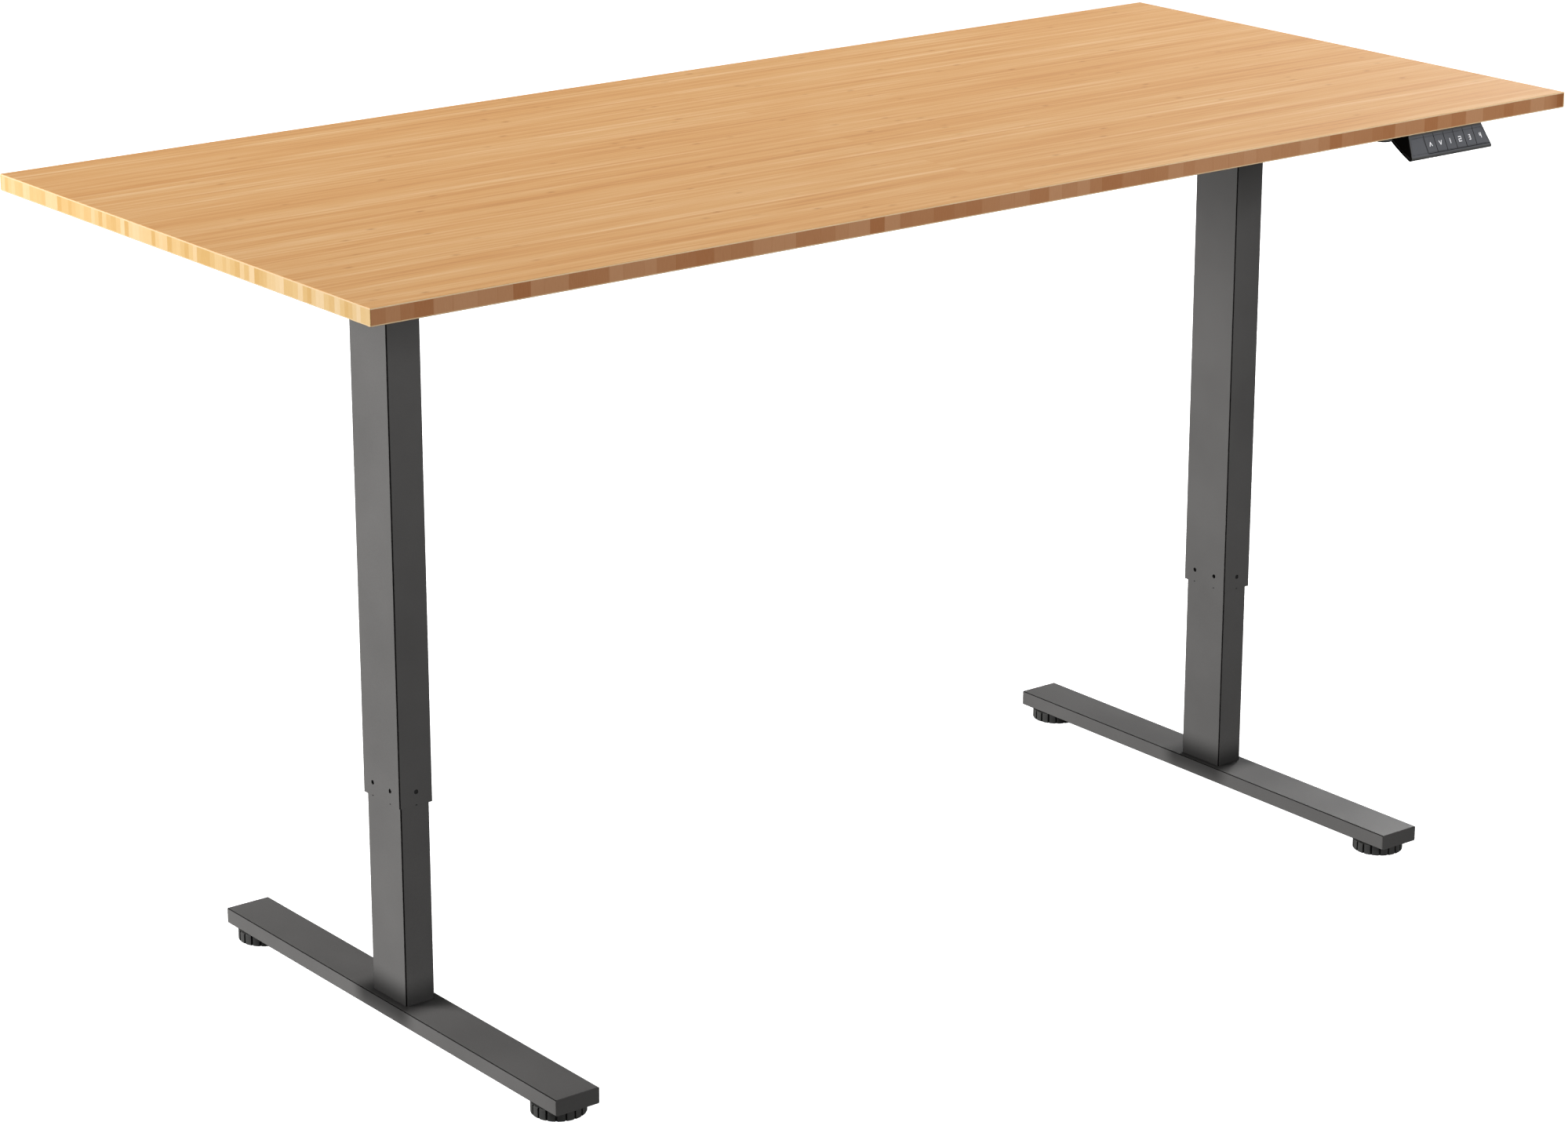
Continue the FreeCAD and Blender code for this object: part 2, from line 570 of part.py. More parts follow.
def make_gearbox(side):
    x0, x1 = GEARBOX_X
    y0, y1 = GEARBOX_Y
    body = box(x0, x1, y0, y1, HEAD_FLOOR, GEARBOX_TOP)
    upright = [edge for edge in body.Edges if edge.BoundBox.ZLength > 30]
    body = body.makeFillet(4.0, upright)
    body = body.cut(cylinder(BEARING_RADIUS, HEAD_FLOOR - 1, HEAD_FLOOR + BEARING_HEIGHT))
    body = body.cut(cylinder(WHEEL_PITCH_RADIUS + 1.6, *CAVITY))
    body = body.cut(cylinder(SHAFT_RADIUS + RUNNING_CLEARANCE, CAVITY[1] - 1, SHAFT_TOP + 1))
    axis_y = WORM_OFFSET
    tunnel = WORM_PITCH_RADIUS + 1.8
    body = body.cut(rod(tunnel, (x0 + 6, axis_y, WORM_Z), (WORM_HALF_LENGTH + 2, axis_y, WORM_Z)))
    body = body.cut(rod(WORM_SHAFT_RADIUS + RUNNING_CLEARANCE, (x0 - 1, axis_y, WORM_Z),
                        (WORM_HALF_LENGTH + 10, axis_y, WORM_Z)))
    nodes["gearbox_" + side] = drive_side(body, side)


def make_motor(side):
    """Round motor flanged to the gearbox, with its cable hood at the far end."""
    face = GEARBOX_X[0]
    parts = [rod(MOTOR_RADIUS, (face - 3, 0, 0), (face - 3 - MOTOR_LENGTH, 0, 0)),
             rod(10.0, (face, 0, 0), (face - 4, 0, 0)),
             rod(15.0, (face - 2 - MOTOR_LENGTH, 0, 0), (face - 6 - MOTOR_LENGTH, 0, 0)),
             box(face - 20 - MOTOR_LENGTH + 2, face - MOTOR_LENGTH + 4, -9, 9, 0, 13)]
    motor = fused(parts)
    rims = [edge for edge in motor.Edges
            if edge.BoundBox.XLength < 0.01 and edge.BoundBox.ZLength > 2 * MOTOR_RADIUS - 1]
    motor = motor.makeFillet(2.0, [rims[-1]])
    shaft_bore = rod(WORM_SHAFT_RADIUS + RUNNING_CLEARANCE, (face + 1, 0, 0), (face - 41, 0, 0))
    motor = moved(motor.cut(shaft_bore), 0, WORM_OFFSET, WORM_Z)
    nodes["motor_" + side] = drive_side(motor, side)


def make_bearings():
    rings = []
    for side in SIDES:
        ring = cylinder(BEARING_RADIUS, HEAD_FLOOR, HEAD_FLOOR + BEARING_HEIGHT)
        ring = ring.cut(cylinder(SHAFT_RADIUS + RUNNING_CLEARANCE, HEAD_FLOOR - 1,
                                 HEAD_FLOOR + BEARING_HEIGHT + 1))
        rings.append(drive_side(ring, side))
    nodes["spindle_bearings"] = Part.makeCompound(rings)


# ---- feet -------------------------------------------------------------------
CAP_THICKNESS = 1.5
CAP_PLUG = 12.0
BUSH_RADIUS = 8.0
BUSH_TOP = GLIDE_HEIGHT + 12.0
STUD_RADIUS = 4.0
STUD_BOTTOM = 5.0
GLIDE_LOBES = 18
BASE_SCREW_HEAD = (6.5, 6.0)   # radius and height


def foot_bar(length, inset, corner):
    """Bar of the foot's section less an inset all round, lying along Y."""
    shape = bar(FOOT_WIDTH - 2 * inset, FOOT_HEIGHT - 2 * inset, corner, 0, length)
    return moved(lay_along_y(shape, length), 0, 0, GLIDE_HEIGHT + FOOT_HEIGHT / 2)


def make_foot(side):
    length = FOOT_LENGTH - 2 * CAP_THICKNESS
    foot = foot_bar(length, 0, 1.5).cut(foot_bar(length + 2, FOOT_WALL, 0.5))
    for y in (-GLIDE_OFFSET, GLIDE_OFFSET):
        foot = fused([foot, cylinder(BUSH_RADIUS, GLIDE_HEIGHT, BUSH_TOP, 0, y)])
        foot = foot.cut(cylinder(STUD_RADIUS + RUNNING_CLEARANCE, GLIDE_HEIGHT - 1, BUSH_TOP + 1,
                                 0, y))
    for x in (-PLUG_HOLES[0], PLUG_HOLES[0]):
        for y in (-PLUG_HOLES[1], PLUG_HOLES[1]):
            foot = foot.cut(cylinder(BASE_SCREW_RADIUS + 0.3, FOOT_TOP - 3, FOOT_TOP + 1, x, y))
            foot = foot.cut(cylinder(BASE_SCREW_HEAD[0] + 1.0, GLIDE_HEIGHT - 1,
                                     GLIDE_HEIGHT + 3, x, y))
    nodes["foot_" + side] = moved(foot, SIDES[side] * COLUMN_X, COLUMN_Y)


def make_foot_caps(side):
    caps = []
    for sign in (-1, 1):
        plate = foot_bar(CAP_THICKNESS, 0, 1.5)
        plug = foot_bar(CAP_PLUG, FOOT_WALL + 0.1, 0.5)
        moved(plate, 0, sign * (FOOT_LENGTH / 2 - CAP_THICKNESS / 2))
        moved(plug, 0, sign * (FOOT_LENGTH / 2 - CAP_THICKNESS - CAP_PLUG / 2))
        cap = fused([plate, plug])
        hollow = box(-FOOT_WIDTH / 2 + 5, FOOT_WIDTH / 2 - 5,
                     sign * (FOOT_LENGTH / 2 - CAP_THICKNESS - 1), sign * FOOT_LENGTH / 2 - sign * 20,
                     GLIDE_HEIGHT + 4.5, FOOT_TOP - 4.5)
        caps.append(moved(cap.cut(hollow), SIDES[side] * COLUMN_X, COLUMN_Y))
    nodes["foot_end_caps_" + side] = Part.makeCompound(caps)


def make_base_screws(side):
    screws = []
    seat = FOOT_TOP - FOOT_WALL
    for x in (-PLUG_HOLES[0], PLUG_HOLES[0]):
        for y in (-PLUG_HOLES[1], PLUG_HOLES[1]):
            head = cylinder(BASE_SCREW_HEAD[0], seat - BASE_SCREW_HEAD[1], seat)
            socket = moved(hex_head(5.0, 3.5), 0, 0, seat - BASE_SCREW_HEAD[1] - 0.5)
            screw = head.cut(socket).fuse(cylinder(BASE_SCREW_RADIUS, seat, seat + 13))
            screws.append(moved(screw, SIDES[side] * COLUMN_X + x, COLUMN_Y + y))
    nodes["base_screws_" + side] = Part.makeCompound(screws)


def make_glides(side):
    """Levelling feet: a lobed plastic knob on a steel stud, at each end of the foot."""
    for name, sign in (("front", -1), ("rear", 1)):
        place = (SIDES[side] * COLUMN_X, COLUMN_Y + sign * GLIDE_OFFSET)
        rim_top = GLIDE_HEIGHT - 0.7
        knob = cylinder(GLIDE_RADIUS, 0, rim_top)
        knob = knob.makeChamfer(0.8, knob.Edges)
        grooves = []
        for index in range(GLIDE_LOBES):
            groove = box(GLIDE_RADIUS - 2.0, GLIDE_RADIUS + 2, -1.3, 1.3, -1, rim_top + 1)
            groove.rotate(Vector(0, 0, 0), UP, (index + 0.5) * 360 / GLIDE_LOBES)
            grooves.append(groove)
        knob = knob.cut(grooves[0].multiFuse(grooves[1:]))
        knob = fused([knob, cylinder(9.0, rim_top - 1, GLIDE_HEIGHT)])
        knob = knob.cut(cylinder(STUD_RADIUS, STUD_BOTTOM, GLIDE_HEIGHT + 1))
        stud = cylinder(STUD_RADIUS, STUD_BOTTOM, FOOT_TOP - FOOT_WALL - 1)
        nodes["glide_knob_" + name + "_" + side] = moved(knob, *place)
        nodes["glide_stud_" + name + "_" + side] = moved(stud, *place)


# ---- control box ------------------------------------------------------------
CONTROL_SIZE = (250.0, 96.0, 33.0)
CONTROL_X = -170.0
CONTROL_Y = COLUMN_Y + 150.0
CONTROL_WALL = 2.0
CONTROL_EAR = 3.0
INLET_X = CONTROL_X - 95.0
SOCKET_PLACES = (0.0, 30.0, 60.0)


def control_box_ears():
    half = CONTROL_SIZE[0] / 2 + 8
    return [(CONTROL_X + sign_x * half, CONTROL_Y + sign_y * 36) for sign_x in (-1, 1)
            for sign_y in (-1, 1)]


def make_control_box():
    """Shallow tray with a flat lid against the desktop; sockets face the back."""
    length, depth, height = CONTROL_SIZE
    lid_bottom = UNDERSIDE - CONTROL_EAR
    bottom = UNDERSIDE - height
    x0, x1 = CONTROL_X - length / 2, CONTROL_X + length / 2
    y0, y1 = CONTROL_Y - depth / 2, CONTROL_Y + depth / 2
    tray = moved(bar(length, depth, 6.0, bottom, lid_bottom), CONTROL_X, CONTROL_Y)
    lower = [edge for edge in tray.Edges if edge.BoundBox.ZMax < bottom + 0.01]
    tray = tray.makeFillet(3.0, lower)
    inside = moved(bar(length - 2 * CONTROL_WALL, depth - 2 * CONTROL_WALL, 4.0,
                       bottom + CONTROL_WALL, lid_bottom + 1), CONTROL_X, CONTROL_Y)
    tray = tray.cut(inside)
    middle_z = (bottom + lid_bottom) / 2
    for offset in SOCKET_PLACES:
        x = CONTROL_X + offset
        tray = tray.cut(box(x - 8, x + 8, y1 - 5, y1 + 1, middle_z - 6, middle_z + 6))
    tray = tray.cut(box(INLET_X - 14, INLET_X + 14, y1 - 5, y1 + 1,
                        middle_z - 10, middle_z + 10))
    lid = moved(bar(length, depth, 6.0, lid_bottom, UNDERSIDE), CONTROL_X, CONTROL_Y)
    for x, y in control_box_ears():
        ear = moved(bar(20.0, 18.0, 6.0, lid_bottom, UNDERSIDE), x, y)
        link = box(x, CONTROL_X, y - 9, y + 9, lid_bottom, UNDERSIDE)
        lid = fused([lid, ear, link.common(box(x0 - 12, x1 + 12, y0, y1, lid_bottom, UNDERSIDE))])
    for x, y in control_box_ears():
        lid = lid.cut(cylinder(2.5, lid_bottom - 1, UNDERSIDE + 1, x, y))
    board_z = bottom + 6.0
    board = box(x0 + 6, x1 - 6, y0 + 6, y1 - 7, board_z, board_z + 1.6)
    parts = [board]
    for offset in SOCKET_PLACES:
        x = CONTROL_X + offset
        jack = box(x - 7.5, x + 7.5, y1 - 22, y1 - 2.2, board_z + 1.6, middle_z + 5.5)
        jack = jack.cut(box(x - 5.5, x + 5.5, y1 - 14, y1, middle_z - 3.0, middle_z + 3.5))
        parts.append(jack)
    for x, y, radius, tall in ((-70, -20, 9, 17), (-45, -20, 9, 17), (20, -22, 6, 14)):
        parts.append(cylinder(radius, board_z + 1.6, board_z + 1.6 + tall, CONTROL_X + x,
                              CONTROL_Y + y))
    parts.append(box(CONTROL_X + 50, CONTROL_X + 92, y0 + 14, y0 + 46, board_z + 1.6,
                     board_z + 17))
    nodes["control_box"] = tray
    nodes["control_box_lid"] = lid
    nodes["control_board"] = fused(parts)
    make_power_inlet(y1, middle_z, board_z)


def make_power_inlet(back, middle_z, board_z):
    """Mains inlet socket in the control box's back wall."""
    inlet = box(INLET_X - 13.8, INLET_X + 13.8, back - 24, back, middle_z - 9.8, middle_z + 9.8)
    inlet = inlet.cut(box(INLET_X - 12, INLET_X + 12, back - 17, back + 1,
                          middle_z - 8, middle_z + 8))
    inlet = inlet.cut(box(INLET_X - 20, INLET_X + 20, back - 30, back - 6, middle_z - 12,
                          board_z + 1.6))
    for offset in (-7.0, 0.0, 7.0):
        x = INLET_X + offset
        z = middle_z - 2.0 if offset else middle_z + 2.0
        inlet = inlet.fuse(box(x - 1, x + 1, back - 18, back - 4, z - 2, z + 2))
    nodes["power_inlet"] = inlet


# ---- handset ----------------------------------------------------------------
# The handset is drawn from its section, looking along X: (y, z) from the front edge of the
# desktop's underside. Its face leans out at the bottom, so that it is seen from above.
HANDSET_X = 686.0
FACE_TOP = (3.0, -1.9)
FACE_BOTTOM = (-HANDSET_REACH, -27.3)
NOSE = ((-9.7, -29.7), (-6.0, -30.4))
BELLY = (22.0, -16.6)
HANDSET_BACK = (48.0, 0.0)
HALF_WIDTH_BOTTOM = 71.0
HALF_WIDTH_TOP = 65.0
END_RIM = 2.6                  # rim left round the recessed ends
END_RECESS = 2.0
PLATE_THICKNESS = 2.0
KEY_NAMES = ("key_up", "key_down", "key_memory_1", "key_memory_2", "key_memory_3",
             "key_memory_4")
KEY_WIDTH = 17.4
KEYS_START = -40.5             # left edge of the first key, from the handset's middle
KEY_BAND = (4.0, 25.0)         # lower and upper edge of the keys, up the face
KEY_GAP = 0.2
KEY_TRAVEL = 0.8
PLATE_INSET = 1.0
HANDSET_EAR = 3.0              # thickness of the two ears behind the handset
HANDSET_EAR_Y = DESK_Y - TOP_DEPTH / 2 + 58.0
SIDE_EAR_X = -97.5             # round ear at the handset's left, from its middle
SIDE_EAR_Y = 14.5              # and from the desktop's front edge
SIDE_EAR_RADIUS = 11.0
SIDE_EAR_HEIGHT = 4.5
SIDE_EAR_COUNTERBORE = 2.7
SIDE_EAR_WEB = 9.0             # width of the strip that joins the round ear to the shell
FRONT_EDGE = DESK_Y - TOP_DEPTH / 2
FACE_LENGTH = math.hypot(FACE_TOP[0] - FACE_BOTTOM[0], FACE_TOP[1] - FACE_BOTTOM[1])
FACE_ANGLE = math.degrees(math.atan2(FACE_TOP[1] - FACE_BOTTOM[1], FACE_TOP[0] - FACE_BOTTOM[0]))


def handset_ears():
    return [HANDSET_X - 40.0, HANDSET_X + 40.0]


def half_width(up_face):
    """Half of the face's width at a distance up from its lower edge."""
    share = up_face / FACE_LENGTH
    return HALF_WIDTH_BOTTOM + (HALF_WIDTH_TOP - HALF_WIDTH_BOTTOM) * share


def section_solid(inset, half_length):
    """The handset's section, less an inset, swept along X."""
    def point(y, z):
        return Vector(-half_length, y, z)

    corners = [(FACE_TOP[0] + 1.0, 0.0), FACE_TOP, FACE_BOTTOM]
    edges = []
    for start, end in zip(corners, corners[1:]):
        edges.append(Part.LineSegment(point(*start), point(*end)).toShape())
    edges.append(Part.Arc(point(*FACE_BOTTOM), point(*NOSE[0]), point(*NOSE[1])).toShape())
    edges.append(Part.Arc(point(*NOSE[1]), point(*BELLY), point(*HANDSET_BACK)).toShape())
    edges.append(Part.LineSegment(point(*HANDSET_BACK), point(*corners[0])).toShape())
    wire = Part.Wire(edges)
    if inset:
        wire = wire.makeOffset2D(-inset)
    return Part.Face(wire).extrude(Vector(2 * half_length, 0, 0))


def end_wedge(trim):
    """Space between the handset's two slanted ends, less a trim at each end."""
    drop = FACE_TOP[1] - FACE_BOTTOM[1]
    slope = (HALF_WIDTH_BOTTOM - HALF_WIDTH_TOP) / drop
    low, high = -40.0, 10.0
    wide = HALF_WIDTH_BOTTOM + slope * (FACE_BOTTOM[1] - low) - trim
    slim = HALF_WIDTH_BOTTOM + slope * (FACE_BOTTOM[1] - high) - trim
    return prism([(-wide, -60, low), (wide, -60, low), (slim, -60, high), (-slim, -60, high)],
                 (0, 160, 0))


def face_solid(outline, bottom, top):
    """Solid on the face: outline as (x, distance up the face), depth along its normal."""
    points = [(x, up, bottom) for x, up in outline]
    shape = prism(points, (0, 0, top - bottom))
    shape.rotate(Vector(0, 0, 0), Vector(1, 0, 0), FACE_ANGLE)
    return moved(shape, 0, *FACE_BOTTOM)


def band(left, right, low, high, gap=0.0):
    """Four-sided outline between two limits; None at a side follows the slanted end."""
    inset = 2.8
    corners = []
    for side, up in (("l", low), ("r", low), ("r", high), ("l", high)):
        limit = left if side == "l" else right
        sign = -1 if side == "l" else 1
        if limit is None:
            limit = sign * (half_width(up) - inset)
        inward_up = gap if up == low else -gap
        corners.append((limit - sign * gap, up + inward_up))
    return corners


def place_handset(shape):
    return moved(shape, HANDSET_X, FRONT_EDGE, UNDERSIDE)


def side_ear():
    """Round ear on a narrow strip, with its screw's head let in from below."""
    disc = cylinder(SIDE_EAR_RADIUS, -SIDE_EAR_HEIGHT, 0, SIDE_EAR_X, SIDE_EAR_Y)
    lower_rim = [edge for edge in disc.Edges if edge.BoundBox.ZMax < -SIDE_EAR_HEIGHT + 0.01]
    disc = disc.makeFillet(1.0, lower_rim)
    strip_end = -HALF_WIDTH_TOP + 2.5
    strip_front = SIDE_EAR_Y - 1.0
    strip = box(SIDE_EAR_X, strip_end, strip_front, strip_front + SIDE_EAR_WEB,
                -SIDE_EAR_HEIGHT + 0.5, 0)
    hole = cylinder(2.5, -SIDE_EAR_HEIGHT - 1, 1, SIDE_EAR_X, SIDE_EAR_Y)
    counterbore = cylinder(WOOD_SCREW["head_radius"] + 0.5, -SIDE_EAR_HEIGHT - 1,
                           -SIDE_EAR_HEIGHT + SIDE_EAR_COUNTERBORE, SIDE_EAR_X, SIDE_EAR_Y)
    return disc.fuse(strip).cut(hole).cut(counterbore)


def make_handset():
    outside = section_solid(0, 90).common(end_wedge(0))
    face = [(-half_width(0) + PLATE_INSET, PLATE_INSET), (half_width(0) - PLATE_INSET, PLATE_INSET),
            (half_width(FACE_LENGTH) - PLATE_INSET, FACE_LENGTH - PLATE_INSET),
            (-half_width(FACE_LENGTH) + PLATE_INSET, FACE_LENGTH - PLATE_INSET)]
    plate = face_solid(face, -PLATE_THICKNESS, 0)
    # recessed ends inside a rim
    recess = section_solid(END_RIM, 90).cut(end_wedge(END_RECESS))
    shell = outside.cut(recess).cut(plate)
    # room for the board, open only behind the face plate
    hollow = section_solid(4.6, 90).common(end_wedge(5.0))
    behind = face_solid(band(None, None, KEY_BAND[0], KEY_BAND[1]), -8.0, -1.0)
    shell = shell.cut(hollow).cut(behind)
    ears = []
    for x in handset_ears():
        local_x = x - HANDSET_X
        ear = moved(bar(16.0, 26.0, 7.0, -HANDSET_EAR, 0), local_x, 53.0)
        ears.append(ear)
    shell = fused([shell, side_ear()] + ears)
    for x in handset_ears():
        shell = shell.cut(cylinder(2.5, -HANDSET_EAR - 1, 1, x - HANDSET_X, 58.0))
    keys_end = KEYS_START + KEY_WIDTH * (len(KEY_NAMES) - 1)
    opening = face_solid(band(KEYS_START, None, *KEY_BAND), -5, 5)
    display_hole = face_solid(band(None, KEYS_START - 0.6, *KEY_BAND), -1.2, 5)
    plate = plate.cut(opening).cut(display_hole)
    display = face_solid(band(None, KEYS_START - 0.6, *KEY_BAND, KEY_GAP), -1.2, -0.05)
    for index, name in enumerate(KEY_NAMES):
        left = KEYS_START + index * KEY_WIDTH
        right = left + KEY_WIDTH if left < keys_end - 1 else None
        key = face_solid(band(left, right, *KEY_BAND, KEY_GAP), -PLATE_THICKNESS - 0.4, 0)
        nodes[name] = place_handset(key)
    board = face_solid([(-55, 6), (60, 6), (56, 21), (-51, 21)], -5.6, -4.4)
    switches = [board]
    for index in range(len(KEY_NAMES)):
        x = KEYS_START + (index + 0.5) * KEY_WIDTH
        button = [(x - 3, 11.5), (x + 3, 11.5), (x + 3, 17.5), (x - 3, 17.5)]
        switches.append(face_solid(button, -4.4, -PLATE_THICKNESS - 0.4 - KEY_TRAVEL - 0.1))
    nodes["handset_shell"] = place_handset(shell)
    nodes["handset_plate"] = place_handset(plate)
    nodes["display_window"] = place_handset(display)
    nodes["handset_board"] = place_handset(fused(switches))


# ---- build and write --------------------------------------------------------
def main():
    make_desktop()
    make_rails()
    make_frame_screws()
    make_slider_pads()
    make_bearings()
    make_control_box()
    make_handset()
    for side in SIDES:
        make_arm(side)
        make_column_head(side)
        make_outer_tube(side)
        make_inner_tube(side)
        make_guide_pads(side)
        make_spindle_nut(side)
        make_spindle(side)
        make_worm_wheel(side)
        make_worm(side)
        make_gearbox(side)
        make_motor(side)
        make_foot(side)
        make_foot_caps(side)
        make_base_screws(side)
        make_glides(side)
    os.makedirs("parts", exist_ok=True)
    for name, shape in sorted(nodes.items()):
        solids = shape.Solids
        print(name, "solids", len(solids), "valid", shape.isValid(),
              "volume", round(shape.Volume, 1))
        shape.exportStep("parts/" + name + ".step")
    print(len(nodes), "nodes")


main()
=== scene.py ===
"""Looks of the height adjustable desk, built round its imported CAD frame. Metres, +Z up."""
import json
import math

import bmesh
import bpy
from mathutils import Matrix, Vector


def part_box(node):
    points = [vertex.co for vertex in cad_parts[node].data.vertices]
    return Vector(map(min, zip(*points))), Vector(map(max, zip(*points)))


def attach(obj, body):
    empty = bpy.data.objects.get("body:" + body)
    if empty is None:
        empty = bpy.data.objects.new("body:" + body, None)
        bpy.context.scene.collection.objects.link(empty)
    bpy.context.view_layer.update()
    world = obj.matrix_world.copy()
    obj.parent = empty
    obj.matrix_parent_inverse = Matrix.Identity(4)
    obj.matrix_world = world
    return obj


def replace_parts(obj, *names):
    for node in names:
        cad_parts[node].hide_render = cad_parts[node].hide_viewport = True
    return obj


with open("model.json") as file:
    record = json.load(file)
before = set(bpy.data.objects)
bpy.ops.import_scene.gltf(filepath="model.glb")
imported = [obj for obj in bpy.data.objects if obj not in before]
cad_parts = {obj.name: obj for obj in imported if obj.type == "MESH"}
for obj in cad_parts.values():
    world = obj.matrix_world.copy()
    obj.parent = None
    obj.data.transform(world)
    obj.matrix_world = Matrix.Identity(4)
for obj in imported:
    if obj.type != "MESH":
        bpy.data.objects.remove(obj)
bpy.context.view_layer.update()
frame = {"nodes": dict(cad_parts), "record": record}
NODES = frame["nodes"]
BODY_OF = {node: body for body, members in frame["record"]["behaviour"]["bodies"].items()
           for node in members}

MM = 0.001


def both(*names):
    return [name + "_" + side for name in names for side in ("left", "right")]


KNOBS = both("glide_knob_front", "glide_knob_rear")
KEYS = ("key_up", "key_down", "key_memory_1", "key_memory_2", "key_memory_3", "key_memory_4")


# ---- node helpers -----------------------------------------------------------
class Graph:
    """A material's node tree, with short names for what this script uses."""

    def __init__(self, name):
        self.material = bpy.data.materials.new(name)
        self.material.use_nodes = True
        self.tree = self.material.node_tree
        self.tree.nodes.clear()
        self.output = self.tree.nodes.new("ShaderNodeOutputMaterial")
        self.shader = self.tree.nodes.new("ShaderNodeBsdfPrincipled")
        self.tree.links.new(self.shader.outputs[0], self.output.inputs[0])

    def put(self, socket, value):
        """Link another node's socket, or set a plain value."""
        if isinstance(value, bpy.types.NodeSocket):
            self.tree.links.new(value, socket)
        elif hasattr(socket.default_value, "__len__") and not hasattr(value, "__len__"):
            socket.default_value = [value] * len(socket.default_value)
        else:
            socket.default_value = value

    def set(self, **values):
        """Principled inputs by name, underscores for spaces."""
        for name, value in values.items():
            self.put(self.shader.inputs[name.replace("_", " ")], value)

    def place(self):
        return self.tree.nodes.new("ShaderNodeTexCoord").outputs["Object"]

    def normal(self):
        return self.tree.nodes.new("ShaderNodeTexCoord").outputs["Normal"]

    def split(self, vector):
        node = self.tree.nodes.new("ShaderNodeSeparateXYZ")
        self.put(node.inputs[0], vector)
        return node.outputs[0], node.outputs[1], node.outputs[2]

    def join(self, x=0.0, y=0.0, z=0.0):
        node = self.tree.nodes.new("ShaderNodeCombineXYZ")
        for socket, value in zip(node.inputs, (x, y, z)):
            self.put(socket, value)
        return node.outputs[0]

    def math(self, operation, *values):
        node = self.tree.nodes.new("ShaderNodeMath")
        node.operation = operation
        for socket, value in zip(node.inputs, values):
            self.put(socket, value)
        return node.outputs[0]

    def random(self, *values):
        """White noise from one to three numbers, 0 to 1."""
        node = self.tree.nodes.new("ShaderNodeTexWhiteNoise")
        node.noise_dimensions = "3D"
        self.put(node.inputs["Vector"], self.join(*values))
        return node.outputs["Value"]

    def noise(self, vector, scale, detail=2.0, roughness=0.5):
        node = self.tree.nodes.new("ShaderNodeTexNoise")
        self.put(node.inputs["Vector"], vector)
        node.inputs["Scale"].default_value = scale
        node.inputs["Detail"].default_value = detail
        node.inputs["Roughness"].default_value = roughness
        return node.outputs["Fac"]

    def stretch(self, vector, scales):
        node = self.tree.nodes.new("ShaderNodeVectorMath")
        node.operation = "MULTIPLY"
        self.put(node.inputs[0], vector)
        node.inputs[1].default_value = scales
        return node.outputs[0]

    def grain(self, vector, scales, detail, roughness=0.5):
        """Noise with its own scale along each axis."""
        return self.noise(self.stretch(vector, scales), 1.0, detail, roughness)

    def remap(self, value, low, high, to_low=0.0, to_high=1.0, smooth=False):
        node = self.tree.nodes.new("ShaderNodeMapRange")
        if smooth:
            node.interpolation_type = "SMOOTHSTEP"
        for socket, item in zip(node.inputs, (value, low, high, to_low, to_high)):
            self.put(socket, item)
        return node.outputs[0]

    def spread(self, noise, to_low, to_high, reach=0.2):
        """A range filled by noise, most of which lies within this reach of a half."""
        return self.remap(noise, 0.5 - reach, 0.5 + reach, to_low, to_high)

    def mix(self, factor, first, second, blend="MIX"):
        node = self.tree.nodes.new("ShaderNodeMix")
        node.data_type = "RGBA"
        node.blend_type = blend
        self.put(node.inputs["Factor"], factor)
        self.put(node.inputs[6], first)
        self.put(node.inputs[7], second)
        return node.outputs[2]

    def shaded(self, colour, shade):
        """A colour times a shade of grey."""
        return self.mix(1.0, colour, self.join(shade, shade, shade), "MULTIPLY")

    def ramp(self, factor, stops):
        node = self.tree.nodes.new("ShaderNodeValToRGB")
        elements = node.color_ramp.elements
        while len(elements) < len(stops):
            elements.new(0.5)
        for element, (position, colour) in zip(elements, stops):
            element.position = position
            element.color = colour
        self.put(node.inputs[0], factor)
        return node.outputs[0]

    def bump(self, height, distance, strength):
        node = self.tree.nodes.new("ShaderNodeBump")
        node.inputs["Distance"].default_value = distance
        node.inputs["Strength"].default_value = strength
        self.put(node.inputs["Height"], height)
        self.put(self.shader.inputs["Normal"], node.outputs[0])


def rgb(red, green, blue):
    """Linear colour from 0-255 display values."""
    def linear(value):
        share = value / 255
        return share / 12.92 if share <= 0.04045 else ((share + 0.055) / 1.055) ** 2.4
    return (linear(red), linear(green), linear(blue), 1.0)


# ---- powder coat, plastic, steel and circuit board --------------------------
# Painted shade on rounded corners: where it starts and where it is full.
CORNER_START = 0.985           # a corner starts where the normal's largest part is this
CORNER_FULL = 0.88             # and has its full tone where it is this
# Painted shade at the joint between each column and its foot:
FOOT_SHADE_REACH = 38 * MM          # how far the dark tone at a column's foot reaches
FOOT_SHADE_TONE = 0.2               # and how dark it is in the joint
PLAIN_SPECULAR = 0.5
TRACK_HALF_PITCH = 1.2 * MM    # half the distance between a circuit board's tracks
TRACK_HALF_WIDTH = 0.3 * MM


def on_corner(graph):
    """1 on rounded corners, 0 on faces that look along an axis."""
    nx, ny, nz = [graph.math("ABSOLUTE", part) for part in graph.split(graph.normal())]
    largest = graph.math("MAXIMUM", graph.math("MAXIMUM", nx, ny), nz)
    return graph.remap(largest, CORNER_FULL, CORNER_START, 1.0, 0.0)


